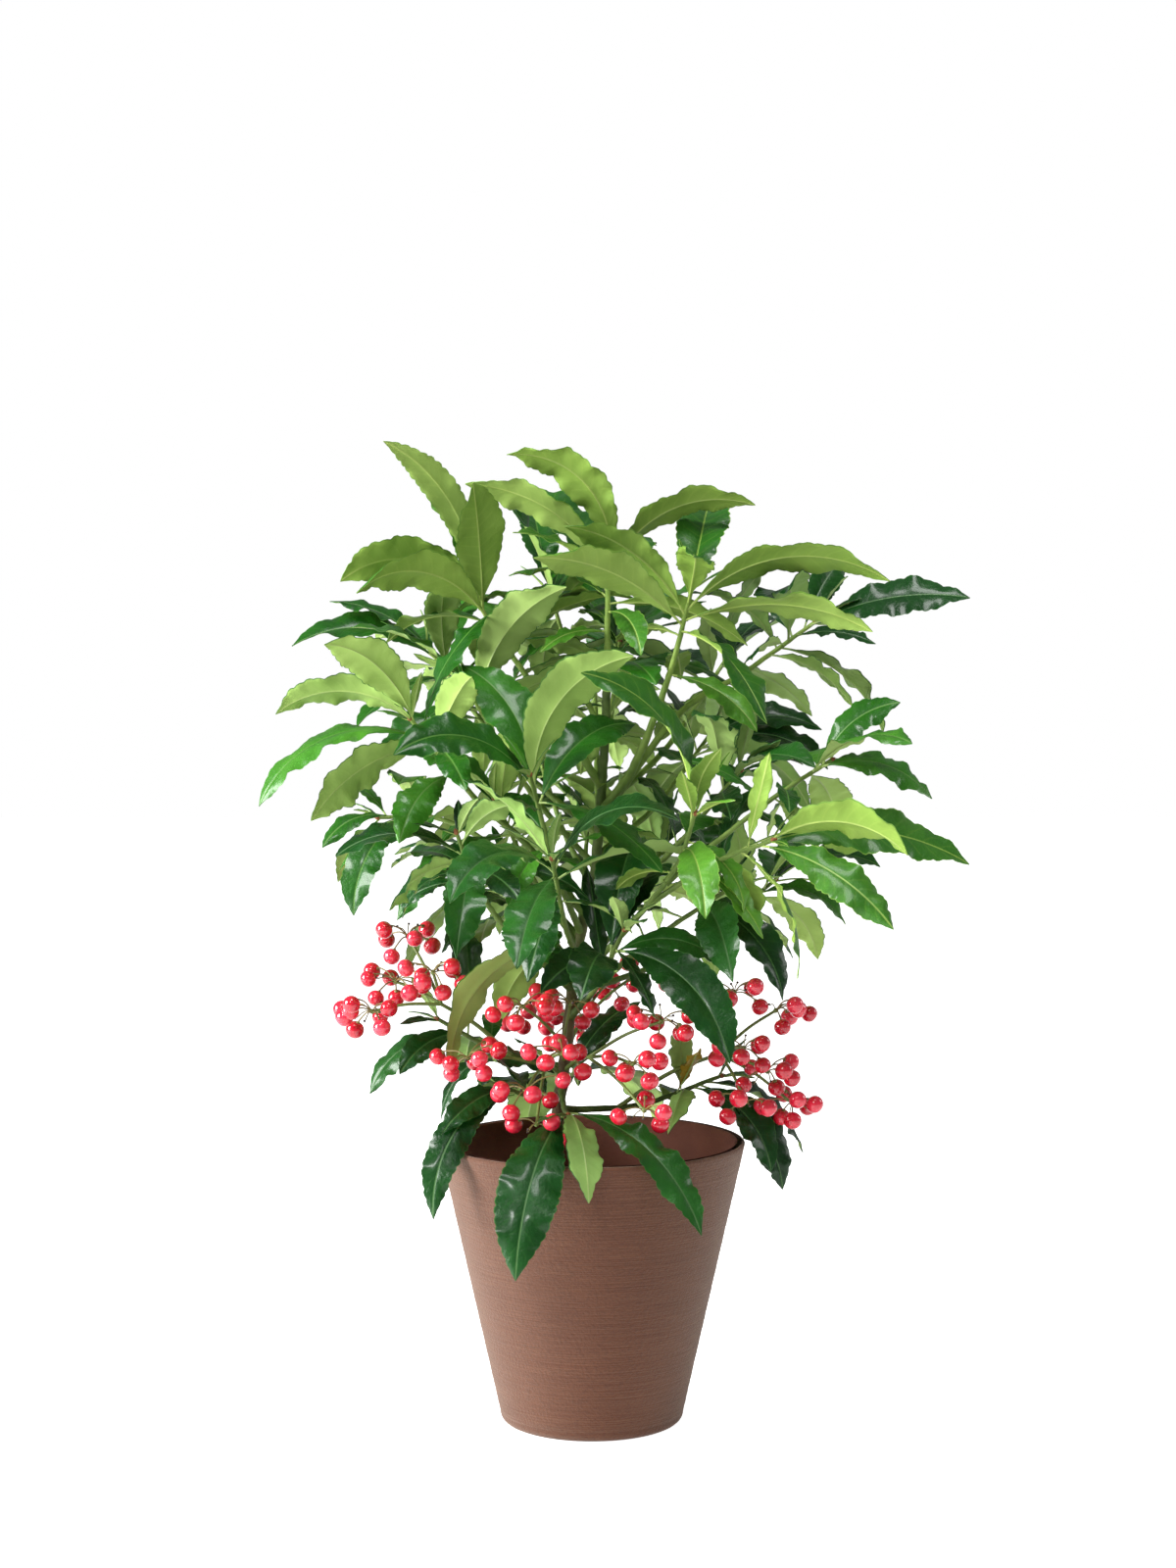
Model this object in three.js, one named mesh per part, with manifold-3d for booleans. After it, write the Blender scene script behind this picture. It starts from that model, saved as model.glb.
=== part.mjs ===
// Potted ardisia: a small evergreen shrub with red berries, in a plain clay pot.
// Millimetres, +Z up. The origin is the centre of the pot's flat underside, and
// -Y is the side that the plant is mostly seen from.

import * as THREE from 'three';
import { mergeVertices } from 'three/addons/utils/BufferGeometryUtils.js';
import Module from 'manifold-3d';

const wasm = await Module();
wasm.setup();

// Pot and soil
const potHeight = 158.3;
const rimRadius = 86.4;
const footRadius = 51.6;
const footRound = 5;
const potWall = 6;
const potFloor = 8;
const rimBevel = 1.2;
const potSegments = 32;
const soilTop = 126;
const soilSag = 2;
const soilSlope = 12;

// Clearance that neighbouring pieces keep
const gap = 0.3;

// Trunk: its line from the flat cut at soil level to where the top shoot takes over
const trunkLine = [
  [-26.5, 0, soilTop + gap],
  [-16, 0, 197],
  [-8, 0, 266],
  [1, 0, 304],
  [6, 0, 365],
  [8.5, 0, 414],
];
const trunkFoot = 3.9;
const trunkHead = 2.3;
const rootFlare = 2.6;
const flareReach = 9;

// Limbs: length of a step along each kind, sides of its section, and least steps
const limbStep = { trunk: 24, bough: 26, stem: 22 };
const limbSides = { trunk: 8, bough: 5, stem: 4 };
const fewestSteps = 3;
const stemTip = 1.1;
const budLength = 3;
const limbSag = 0.07;

// Leaves: thickness, of which the midrib's ridge is the share underneath, and the
// half width at places from foot to tip, as shares of the widest
const leafAspect = 0.3;
const aspectPlay = 0.12;
const leafThick = 1.3;
const ridgeShare = 0.7;
const leafFoot = 0.8;
const footSwell = 1.5;
const leafOutline = [[0.34, 0.74], [0.6, 1], [0.82, 0.68], [1, 0]];
const longStations = [0, 0.1, 0.34, 0.6, 0.82];
const shortStations = [0, 0.42, 0.76];

// Whorls: where leaves are seated below the tip, and how the ones on the spiral
// open from first to last. Angles in degrees, lengths as shares of the leaf size.
const whorl = {
  depth: 22,
  bareLeast: 8,
  seatApart: 2.4,
  seatFrom: 20,
  seatOver: 90,
  turn: 137.5,
  turnPlay: 16,
  openFrom: 38,
  openBy: 62,
  openPlay: 10,
  sizeFrom: 0.78,
  sizeBy: 0.3,
  sizePlay: 0.12,
  bendFrom: 45,
  bendBy: 30,
  lift: 12,
  lowest: -0.3,
  rollPlay: 50,
  crowded: 30,
};

// Room that a blade must find: its margin, and where along it the test starts
// against other shoots and against leaves of its own
const leafMargin = 0.5;
const clearFrom = 0.02;
const ownClearFrom = 0.18;

// Berries
const berryRadius = 5.2;
const berryApart = 0.4;
const stalkApart = 1;
const pedicelRadius = 0.6;
const umbelRadius = 1;
const peduncleRadius = 1.2;
const knobRadius = 2.6;
const stalkSunk = 0.4;
const knobSunk = 0.3;

// Umbels: how berries hang round the knob, turned and angled down in degrees
const umbel = {
  turn: 70,
  turnPlay: 20,
  downFrom: 25,
  downBy: 85,
  reach: 13,
  reachPlay: 5,
  tries: 9,
  tryTurn: 50,
  tryGrowth: 0.06,
};

// Joined solids lose slivers thinner than this
const sliver = 0.05;

// Places along the trunk that a height is looked up at, the first seed of the
// trusses, and the length below which a direction counts as upright
const trunkSamples = 200;
const trussSeed = 500;
const uprightBelow = 0.1;

const degree = Math.PI / 180;

// Materials, one for each finish
const finishes = {
  pot_clay: new THREE.MeshStandardMaterial({ color: 0x8a5a49, roughness: 0.85, metalness: 0 }),
  potting_soil: new THREE.MeshStandardMaterial({ color: 0x3a2a20, roughness: 1, metalness: 0 }),
  stem_bark: new THREE.MeshStandardMaterial({ color: 0x55602f, roughness: 0.7, metalness: 0 }),
  leaf_young: new THREE.MeshStandardMaterial({ color: 0x86ad4c, roughness: 0.45, metalness: 0 }),
  leaf_green: new THREE.MeshStandardMaterial({ color: 0x4b7f3a, roughness: 0.4, metalness: 0 }),
  leaf_dark: new THREE.MeshStandardMaterial({ color: 0x255c30, roughness: 0.35, metalness: 0 }),
  berry_red: new THREE.MeshStandardMaterial({ color: 0xc21f3a, roughness: 0.25, metalness: 0 }),
};

// Each shoot leaves its parent limb, ends in one whorl of leaves and is one mass.
// rise: the height on the trunk, or the distance along a bough, that it leaves at.
// bough: how much of it is bare and is a bough of its own. count: leaves dealt out
// by the spiral, of the given size. reach: points that its longest leaves end at,
// each with how far the blade is turned to face -Y (below 0 it shows its
// underside there), how far it bends from foot to tip, and, where it isn't as wide
// as the rest, a share of their width.
const shoots = [
  {
    name: 'top', on: 'trunk', rise: 'head', tip: [9, 0, 487], thick: 2.2, bough: 0,
    count: 6, size: 78, finish: 'leaf_young', turn: 20,
    reach: [
      [-47, -15, 541, -50, 105, 0.85], [-70, -12, 525, -35, 60, 0.85], [91, 0, 514, -35, 85, 0.75],
      [-43, -40, 497, 15, 50], [30, 72, 500, 0, 55], [-30, 70, 528, 0, 40],
    ],
  },
  {
    name: 'upper_left', on: 'trunk', rise: 357, tip: [-66, 15, 463], thick: 2.4, bough: 75,
    via: [[-15, 5, 388], [-51, 12, 439]],
    count: 5, size: 86, finish: 'leaf_young', turn: 75,
    reach: [
      [-65, -38, 524, -35, 35, 1.15], [-114, -30, 547, -60, 70, 0.5], [-139, -15, 471, -50, 115],
      [-128, -42, 464, -45, 100], [-98, 40, 527, 25, 50, 0.8],
    ],
  },
  {
    name: 'upper_right', on: 'trunk', rise: 342, tip: [55, -18, 467], thick: 2.7, bough: 95,
    via: [[24, -6, 370], [43, -12, 420]],
    count: 4, size: 90, finish: 'leaf_young', turn: 10,
    reach: [
      [64, 30, 528, 5, 75, 1.15], [163, -30, 471, -30, 78, 0.85], [-15, -45, 500, -45, 65, 0.85],
      [152, -45, 443, -22, 50, 0.8], [-31, -70, 482, -40, 50, 0.85],
    ],
  },
  {
    name: 'right', on: 'trunk', rise: 338, tip: [127, 40, 449], thick: 2.4, bough: 120,
    via: [[49, 15, 397], [87, 27, 421]],
    count: 4, size: 86, finish: 'leaf_dark', turn: 35,
    reach: [
      [214, 22, 463, 50, 45], [150, 70, 490, 55, 55], [160, 15, 437, 20, 50],
      [84, 0, 425, -40, 40], [105, 110, 470, 0, 45],
    ],
  },
  {
    name: 'left_back', on: 'trunk', rise: 330, tip: [-95, 60, 435], thick: 2.1, bough: 95,
    count: 5, size: 84, finish: 'leaf_green', turn: 110,
    reach: [
      [-172, 40, 436, 35, 70], [-152, 60, 462, 20, 50], [-72, 110, 478, 0, 50],
      [-130, 125, 440, 0, 60],
    ],
  },
  {
    name: 'left', on: 'trunk', rise: 285, tip: [-99, -30, 395], thick: 2.3, bough: 105,
    via: [[-37, -12, 326], [-65, -20, 352]],
    count: 4, size: 92, finish: 'leaf_green', turn: 140,
    reach: [
      [-142, -78, 436, -45, 75], [-174, -25, 398, -45, 100, 0.8], [-184, -20, 347, 20, 95, 0.8],
      [-150, -72, 342, -60, 60, 1.1], [-64, -70, 419, -35, 60], [-67, -75, 358, 25, 75, 0.9],
    ],
  },
  {
    name: 'front_left', on: 'trunk', rise: 275, tip: [-33, -72, 366], thick: 2.0, bough: 60,
    count: 3, size: 88, finish: 'leaf_green', turn: 250,
    reach: [
      [-104, -100, 378, 40, 90], [22, -78, 430, -45, 90], [24, -10, 392, 25, 85],
      [-72, -20, 425, 20, 60],
    ],
  },
  {
    name: 'lower_left', on: 'trunk', rise: 243, tip: [-73, -55, 334], thick: 2.1, bough: 75,
    via: [[-45, -28, 278], [-62, -42, 303]],
    count: 3, size: 86, finish: 'leaf_dark', turn: 200,
    reach: [
      [-71, -105, 272, 15, 85], [-107, -92, 296, -45, 70], [-138, -60, 322, 15, 75],
      [-103, -50, 288, 15, 80], [-38, -85, 300, 25, 80],
    ],
  },
  {
    name: 'front_fork', on: 'trunk', rise: 246, tip: [54, -88, 346], thick: 2.2, bough: 112,
    via: [[22, -45, 285], [45, -74, 318]],
    count: 2, size: 74, finish: 'leaf_young', turn: 80,
    reach: [
      [-6, -105, 421, 30, 95], [67, -108, 382, -15, 25], [58, -131, 295, 25, 95],
    ],
  },
  {
    name: 'fork_right', on: 'bough_front_fork', rise: 104, tip: [130, -40, 373], thick: 1.6,
    bough: 0, via: [[95, -62, 352]],
    count: 3, size: 80, finish: 'leaf_green', turn: 190,
    reach: [
      [166, -55, 405, 55, 65, 1.15], [186, -35, 352, 35, 75],
    ],
  },
  {
    name: 'fork_front', on: 'bough_front_fork', rise: 84, tip: [94, -98, 333], thick: 1.6,
    bough: 0, via: [[64, -82, 320]],
    count: 1, size: 78, finish: 'leaf_young', turn: 130,
    reach: [
      [163, -120, 327, -45, 85, 1.15], [154, -135, 290, 40, 60, 0.9], [201, -75, 319, 45, 52, 0.9],
      [92, -112, 380, -70, 40, 0.7], [107, -112, 262, -35, 80, 0.85], [160, -62, 319, -20, 60],
    ],
  },
  {
    name: 'lower_front', on: 'trunk', rise: 227, tip: [17, -70, 283], thick: 2.1, bough: 55,
    count: 1, size: 84, finish: 'leaf_dark', turn: 60,
    reach: [
      [72, -108, 217, 40, 75], [75, -62, 260, 35, 75], [28, 0, 328, 0, 110],
      [48, -5, 308, 0, 100], [-27, -98, 253, 45, 80], [-6, -124, 252, 25, 90],
    ],
  },
  {
    name: 'front_middle', on: 'trunk', rise: 262, tip: [-21, -96, 323], thick: 1.9, bough: 72,
    count: 3, size: 84, finish: 'leaf_dark', turn: 300,
    reach: [[44, -135, 346, 35, 95], [-72, -150, 305, 20, 90]],
  },
  {
    name: 'left_middle', on: 'trunk', rise: 268, tip: [-54, -8, 350], thick: 1.7, bough: 0,
    count: 7, size: 78, finish: 'leaf_green', turn: 120,
    reach: [[-40, -42, 392, -35, 60], [-100, 30, 376, 10, 70]],
  },
  {
    name: 'left_drop', on: 'trunk', rise: 258, tip: [-26, -14, 280], thick: 1.5, bough: 0,
    count: 0, size: 70, finish: 'leaf_green', turn: 0,
    reach: [
      [-84, -26, 208, -45, 100], [-52, 22, 222, -35, 85], [-30, -74, 262, 20, 90],
      [-74, 6, 300, -20, 60],
    ],
  },
  {
    name: 'right_middle', on: 'trunk', rise: 282, tip: [82, -12, 366], thick: 1.7, bough: 0,
    count: 6, size: 80, finish: 'leaf_dark', turn: 40,
    reach: [[60, -70, 398, 30, 80], [120, -60, 370, 20, 80]],
  },
  {
    name: 'top_back', on: 'trunk', rise: 372, tip: [16, 45, 438], thick: 1.7, bough: 0,
    count: 6, size: 76, finish: 'leaf_green', turn: 330,
    reach: [[-38, 5, 440, -20, 50], [60, 100, 470, 0, 50], [-20, 100, 480, 0, 50]],
  },
  {
    name: 'top_left_back', on: 'trunk', rise: 384, tip: [-24, 55, 466], thick: 1.7, bough: 0,
    count: 6, size: 76, finish: 'leaf_green', turn: 15,
    reach: [[-50, 25, 520, 30, 40], [-35, 110, 518, 0, 40]],
  },
  {
    name: 'right_back', on: 'trunk', rise: 345, tip: [81, 100, 430], thick: 2.1, bough: 100,
    count: 6, size: 84, finish: 'leaf_dark', turn: 280,
    reach: [[128, 60, 455, 20, 50], [69, 60, 458, -20, 40], [120, 150, 455, 0, 60]],
  },
  {
    name: 'right_inner', on: 'trunk', rise: 318, tip: [71, 58, 388], thick: 1.8, bough: 0,
    count: 4, size: 82, finish: 'leaf_dark', turn: 100,
    reach: [[132, 40, 388, 35, 75], [134, 22, 366, 30, 80], [123, 5, 342, -35, 85]],
  },
  {
    name: 'back_left', on: 'trunk', rise: 300, tip: [-33, 95, 376], thick: 1.9, bough: 0,
    count: 7, size: 84, finish: 'leaf_green', turn: 55,
    reach: [[-90, 120, 400, 0, 60]],
  },
  {
    name: 'left_inner', on: 'trunk', rise: 312, tip: [-72, 10, 415], thick: 1.8, bough: 0,
    count: 4, size: 82, finish: 'leaf_green', turn: 215,
    reach: [[-134, -8, 446, 10, 60], [-14, -28, 468, -40, 55], [-44, -25, 392, 30, 60]],
  },
  {
    name: 'left_low', on: 'trunk', rise: 272, tip: [-121, 30, 338], thick: 1.9, bough: 85,
    via: [[-50, 14, 318], [-88, 24, 338]],
    count: 4, size: 72, finish: 'leaf_green', turn: 170,
    reach: [[-156, 60, 358, 10, 60], [-134, 5, 284, 25, 80], [-152, 10, 322, 25, 80]],
  },
  {
    name: 'lower_right', on: 'trunk', rise: 232, tip: [75, -38, 303], thick: 1.9, bough: 0,
    via: [[30, -16, 270]],
    count: 3, size: 84, finish: 'leaf_dark', turn: 265,
    reach: [[103, -58, 244, 30, 85], [74, -92, 258, 35, 85], [112, -10, 262, 10, 85]],
  },
  {
    name: 'right_low_back', on: 'trunk', rise: 240, tip: [108, 80, 298], thick: 1.9, bough: 95,
    count: 5, size: 84, finish: 'leaf_green', turn: 320,
    reach: [[148, 60, 274, 20, 80], [172, 95, 305, 10, 75], [120, 150, 300, 0, 70]],
  },
  {
    name: 'back_right_low', on: 'trunk', rise: 252, tip: [44, 70, 318], thick: 1.8, bough: 0,
    count: 6, size: 82, finish: 'leaf_dark', turn: 5,
    reach: [[60, 150, 330, 0, 60]],
  },
  {
    name: 'back_low', on: 'trunk', rise: 262, tip: [-2, 120, 335], thick: 2.0, bough: 90,
    count: 7, size: 86, finish: 'leaf_dark', turn: 90,
    reach: [[0, 195, 345, 0, 70], [-48, 180, 322, 0, 80]],
  },
  {
    name: 'back_left_low', on: 'trunk', rise: 246, tip: [-52, 108, 308], thick: 1.8, bough: 0,
    count: 6, size: 84, finish: 'leaf_dark', turn: 160,
    reach: [[-120, 130, 310, 0, 75]],
  },
  {
    name: 'back_upper', on: 'trunk', rise: 335, tip: [2, 120, 418], thick: 2.0, bough: 95,
    count: 7, size: 84, finish: 'leaf_green', turn: 30,
    reach: [[10, 190, 445, 0, 65], [-60, 150, 460, 0, 50]],
  },
  {
    name: 'foot_left', on: 'trunk', rise: 199, tip: [-86, 0, 226], thick: 2.0, bough: 40,
    count: 3, size: 62, finish: 'leaf_dark', turn: 100,
    reach: [
      [-125, 0, 184, 25, 70], [-103, -35, 200, 40, 60], [-76, 40, 286, -40, 60],
    ],
  },
  {
    name: 'foot_right', on: 'trunk', rise: 175, tip: [73, 20, 191], thick: 2.0, bough: 45,
    count: 3, size: 60, finish: 'leaf_dark', turn: 40,
    reach: [
      [94, -8, 137, 30, 75], [114, 10, 133, 30, 75], [122, 38, 144, 20, 70],
      [42, -34, 167, 160, 60], [47, -24, 223, -30, 35, 0.9], [66, -32, 219, 20, 30, 0.6],
    ],
  },
  {
    name: 'rim_front', on: 'trunk', rise: 187, tip: [-13, -58, 182], thick: 1.7, bough: 0,
    count: 0, size: 70, finish: 'leaf_dark', turn: 0,
    reach: [
      [-46, -116, 105, 20, 80], [58, -92, 123, 20, 80, 0.65], [-2, -100, 142, 160, 90],
    ],
  },
  {
    name: 'rim_left', on: 'trunk', rise: 182, tip: [-52, -18, 192], thick: 1.5, bough: 0,
    count: 1, size: 58, finish: 'leaf_dark', turn: 60,
    reach: [[-86, -60, 125, 35, 94, 0.7], [-80, -48, 165, 45, 70], [-62, 62, 166, 10, 80]],
  },
  {
    name: 'rim_back', on: 'trunk', rise: 190, tip: [-10, 48, 190], thick: 1.7, bough: 0,
    count: 4, size: 72, finish: 'leaf_dark', turn: 150,
    reach: [[-40, 118, 135, 0, 85], [45, 112, 140, 0, 85]],
  },
];

// Berry trusses: a stalk from its parent limb to a hub, then a stalk to each
// umbel. umbels: the place of each umbel's centre, and how many berries it has.
const trusses = [
  {
    name: 'front_high', on: 'trunk', rise: 201, hub: [-16, -14, 214], turn: 40,
    umbels: [[-12, -24, 238, 6], [-38, -36, 238, 7]],
  },
  {
    name: 'front_left', on: 'trunk', rise: 194, hub: [-26, -18, 203], turn: 160,
    umbels: [[-68, -38, 210, 8], [-36, -52, 194, 6], [-16, -50, 214, 7], [-30, -60, 177, 3]],
  },
  {
    name: 'front_right', on: 'trunk', rise: 197, hub: [-2, -22, 208], turn: 250,
    umbels: [[38, -38, 230, 8], [22, -60, 210, 6], [28, -68, 186, 4]],
  },
  {
    name: 'left', on: 'bough_foot_left', rise: 30, hub: [-84, -10, 236], turn: 80,
    umbels: [[-110, -4, 248, 9], [-122, -18, 233, 8], [-104, 10, 272, 6], [-88, -20, 255, 6]],
  },
  {
    name: 'right', on: 'bough_foot_right', rise: 34, hub: [72, 6, 206], turn: 200,
    umbels: [
      [80, 2, 241, 7], [104, 10, 230, 5], [84, -22, 213, 6], [98, -8, 198, 6],
      [113, 4, 178, 7], [85, -26, 184, 4],
    ],
  },
  {
    name: 'back', on: 'trunk', rise: 205, hub: [-6, 26, 222], turn: 300,
    umbels: [[8, 50, 240, 6], [32, 44, 250, 5], [-38, 44, 226, 7], [-12, 66, 214, 6]],
  },
];

// Numbers that look random and come out alike each time
function seeded(seed) {
  let state = (seed * 7919 + 12345) % 4294967296;
  const next = () => {
    state = (state * 1664525 + 1013904223) % 4294967296;
    return state / 4294967296;
  };
  next();
  next();
  return next;
}

// A solid from points and triangles, turned inside out if its volume is negative
function toSolid(points, faces) {
  const volume = faces.reduce((sum, [a, b, c]) => (
    sum + points[a].dot(points[b].clone().cross(points[c]))
  ), 0);
  const order = volume < 0 ? faces.map(([a, b, c]) => [a, c, b]) : faces;
  const mesh = new wasm.Mesh({
    numProp: 3,
    vertProperties: new Float32Array(points.flatMap((point) => point.toArray())),
    triVerts: new Uint32Array(order.flat()),
  });
  return new wasm.Manifold(mesh);
}

// Points and triangles of a geometry, with its seams closed
function unpacked(geometry) {
  const plain = new THREE.BufferGeometry();
  plain.setAttribute('position', geometry.attributes.position);
  plain.setIndex(geometry.index);
  const { attributes, index } = mergeVertices(plain);
  const points = Array.from({ length: attributes.position.count }, (_, i) => (
    new THREE.Vector3().fromBufferAttribute(attributes.position, i)
  ));
  const faces = Array.from({ length: index.count / 3 }, (_, i) => (
    [0, 1, 2].map((j) => index.getX(i * 3 + j))
  ));
  return { points, faces: faces.filter(([a, b, c]) => a !== b && b !== c && c !== a) };
}

// A turned solid about +Z from [radius, height] pairs that start and end at radius 0
function turned(profile) {
  const outline = profile.map(([radius, height]) => new THREE.Vector2(radius, height));
  const lathe = new THREE.LatheGeometry(outline, potSegments).rotateX(Math.PI / 2);
  const { points, faces } = unpacked(lathe);
  return toSolid(points, faces);
}

// A closed solid through rings of equally many points. The last ring may be one
// point, and other ends are capped flat.
function skin(rings) {
  const points = rings.flat();
  const sides = rings[0].length;
  const faces = [];
  rings.slice(1).forEach((ring, i) => {
    const [low, high] = [i * sides, (i + 1) * sides];
    for (let j = 0; j < sides; j += 1) {
      const k = (j + 1) % sides;
      if (ring.length === 1) {
        faces.push([low + j, low + k, high]);
      } else {
        faces.push([low + j, low + k, high + k], [low + j, high + k, high + j]);
      }
    }
  });
  const top = points.length - sides;
  for (let j = 1; j + 1 < sides; j += 1) {
    faces.push([0, j + 1, j]);
    if (rings[rings.length - 1].length > 1) {
      faces.push([top, top + j, top + j + 1]);
    }
  }
  return toSolid(points, faces);
}

// A ring of points round a centre, in the plane of two directions
function ringAt(centre, side, other, radius, sides) {
  return Array.from({ length: sides }, (_, j) => {
    const angle = (j / sides) * 2 * Math.PI;
    return centre.clone()
      .addScaledVector(side, radius * Math.cos(angle))
      .addScaledVector(other, radius * Math.sin(angle));
  });
}

// The biggest piece of a solid, so that scraps left by a cut are dropped
function biggest(solid) {
  return solid.decompose().reduce((a, b) => (b.volume() > a.volume() ? b : a));
}

// A joined solid with its flat faces whole again and its slivers gone
function tidied(solid) {
  return biggest(solid).asOriginal().simplify(sliver);
}

function near(a, b) {
  const [p, q] = [a.boundingBox(), b.boundingBox()];
  return [0, 1, 2].every((i) => p.min[i] < q.max[i] && q.min[i] < p.max[i]);
}

// Limbs: everything woody, kept with a swollen copy that cuts its neighbours clear
const limbs = {};

function pointOn(limb, distance) {
  return limb.curve.getPointAt(Math.min(distance / limb.length, 1));
}

function headingOn(limb, distance) {
  return limb.curve.getTangentAt(Math.min(distance / limb.length, 1));
}

// How far along the trunk a height is reached
function distanceUp(limb, height) {
  const points = limb.curve.getSpacedPoints(trunkSamples);
  const i = points.findIndex((point) => point.z >= height);
  const [low, high] = [points[i - 1].z, points[i].z];
  return ((i - 1 + (height - low) / (high - low)) / trunkSamples) * limb.length;
}

function rootOf(shoot) {
  const parent = limbs[shoot.on];
  return pointOn(parent, shoot.on === 'trunk' ? distanceUp(parent, shoot.rise) : shoot.rise);
}

// Rings of a limb, square to its line, but level where it is cut off at the soil
function limbRings(limb, sides, widened) {
  let side = new THREE.Vector3(1, 0, 0);
  const steps = Math.max(fewestSteps, Math.round((limb.to - limb.from) / limbStep[limb.kind]));
  const rings = Array.from({ length: steps + 1 }, (_, i) => {
    const distance = limb.from + ((limb.to - limb.from) * i) / steps;
    const heading = headingOn(limb, distance);
    side = side.clone().addScaledVector(heading, -side.dot(heading)).normalize();
    const radius = widened(limb.radiusAt(distance));
    return ringAt(pointOn(limb, distance), side, heading.clone().cross(side), radius, sides);
  });
  if (limb.kind === 'trunk') {
    rings[0].forEach((point) => point.setZ(soilTop + gap));
  }
  return rings;
}

// Each limb is cut clear of the ones that were there before it
function clearOfLimbs(solid) {
  return Object.values(limbs).reduce((left, { swollen }) => (
    near(swollen, left) ? biggest(left.subtract(swollen)) : left
  ), solid);
}

function growLimb(kind, name, curve, radiusAt, from, to) {
  const limb = { kind, name, curve, radiusAt, from, to, length: curve.getLength() };
  const rings = limbRings(limb, limbSides[kind], (radius) => radius);
  if (kind === 'stem') {
    rings.push([pointOn(limb, to).addScaledVector(headingOn(limb, to), budLength)]);
  }
  limb.solid = tidied(clearOfLimbs(skin(rings)));
  const flats = Math.cos(Math.PI / limbSides.trunk);
  limb.swollen = skin(limbRings(limb, limbSides.trunk, (radius) => (radius + gap) / flats));
  limbs[name] = limb;
  return limb;
}

function growTrunk() {
  const curve = new THREE.CatmullRomCurve3(
    trunkLine.map((place) => new THREE.Vector3(...place)),
    false,
    'catmullrom',
  );
  const length = curve.getLength();
  const radiusAt = (distance) => {
    const plain = trunkFoot + (trunkHead - trunkFoot) * (distance / length);
    return plain + rootFlare * Math.exp(-distance / flareReach);
  };
  growLimb('trunk', 'trunk', curve, radiusAt, 0, length);
}

// A shoot's line: from its parent limb, or from just past the trunk's head
function shootLine(shoot) {
  const tip = new THREE.Vector3(...shoot.tip);
  if (shoot.rise === 'head') {
    const { trunk } = limbs;
    const root = pointOn(trunk, trunk.to).addScaledVector(headingOn(trunk, trunk.to), gap);
    return [root, tip];
  }
  const root = rootOf(shoot);
  if (shoot.via) {
    return [root, ...shoot.via.map((place) => new THREE.Vector3(...place)), tip];
  }
  const middle = root.clone().lerp(tip, 0.5);
  middle.z -= root.distanceTo(tip) * limbSag;
  return [root, middle, tip];
}

// A shoot's bare part is its bough, and the rest is the stem of its mass
function growShoot(shoot) {
  const curve = new THREE.CatmullRomCurve3(shootLine(shoot), false, 'catmullrom');
  const length = curve.getLength();
  const radiusAt = (distance) => shoot.thick + (stemTip - shoot.thick) * (distance / length);
  const bare = Math.min(shoot.bough, length - whorl.depth - whorl.bareLeast);
  if (shoot.bough > 0) {
    growLimb('bough', `bough_${shoot.name}`, curve, radiusAt, 0, bare);
  }
  const from = shoot.bough > 0 ? bare + gap : 0;
  shoot.stem = growLimb('stem', `stem_${shoot.name}`, curve, radiusAt, from, length);
}

// Leaves. The midrib is an arc in an upright plane, and `bend` is how far its
// slope drops from foot to tip.
function halfWidth(leaf, s) {
  const wide = leaf.width / 2;
  const foot = leafFoot / wide;
  const outline = [[0, foot], [longStations[1], foot * footSwell], ...leafOutline];
  const i = Math.max(1, outline.findIndex(([place]) => place >= s));
  const [low, high] = [outline[i - 1], outline[i]];
  return wide * (low[1] + ((high[1] - low[1]) * (s - low[0])) / (high[0] - low[0]));
}

function leafFrame(leaf, s) {
  const { foot, heading, slope, bend, length, roll } = leaf;
  const now = slope - bend * s;
  const out = (length * (Math.sin(slope) - Math.sin(now))) / bend;
  const up = (length * (Math.cos(now) - Math.cos(slope))) / bend;
  const level = new THREE.Vector3(Math.cos(heading), Math.sin(heading), 0);
  const point = foot.clone().addScaledVector(level, out);
  point.z += up;
  const along = level.clone().multiplyScalar(Math.cos(now));
  along.z = Math.sin(now);
  const flat = new THREE.Vector3(-Math.sin(heading), Math.cos(heading), 0);
  const above = along.clone().cross(flat);
  const across = flat.clone().multiplyScalar(Math.cos(roll)).addScaledVector(above, Math.sin(roll));
  const normal = above.multiplyScalar(Math.cos(roll)).addScaledVector(flat, -Math.sin(roll));
  return { point, across, normal };
}

// A section of the blade from [side, lift] pairs, sides as shares of its half width
function leafSection(leaf, s, margin, corners) {
  const { point, across, normal } = leafFrame(leaf, s);
  const half = halfWidth(leaf, s) + margin;
  return corners.map(([side, lift]) => point.clone()
    .addScaledVector(across, side * half)
    .addScaledVector(normal, lift));
}

// Leaf solid: two raised edges and the midrib's ridge underneath at each station,
// drawn to a point at the tip
function leafSolid(leaf) {
  const over = leafThick * (1 - ridgeShare);
  const under = leafThick * ridgeShare;
  const corners = [[1, over], [-1, over], [0, -under]];
  const rings = leaf.stations.map((s) => leafSection(leaf, s, 0, corners));
  return skin([...rings, [leafFrame(leaf, 1).point]]);
}

// A swollen blade from part way along, to find out whether it would touch anything
function leafProbe(leaf, from) {
  const over = leafThick * (1 - ridgeShare) + leafMargin;
  const under = leafThick * ridgeShare + leafMargin;
  const corners = [[1, over], [-1, over], [-1, -leafMargin], [0, -under], [1, -leafMargin]];
  const places = [...leaf.stations, 1];
  const rings = places.map((s) => leafSection(leaf, s, leafMargin, corners));
  const i = places.findIndex((s) => s > from);
  const share = (from - places[i - 1]) / (places[i] - places[i - 1]);
  const start = rings[i - 1].map((corner, j) => corner.clone().lerp(rings[i][j], share));
  return skin([start, ...rings.slice(i)]);
}

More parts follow.
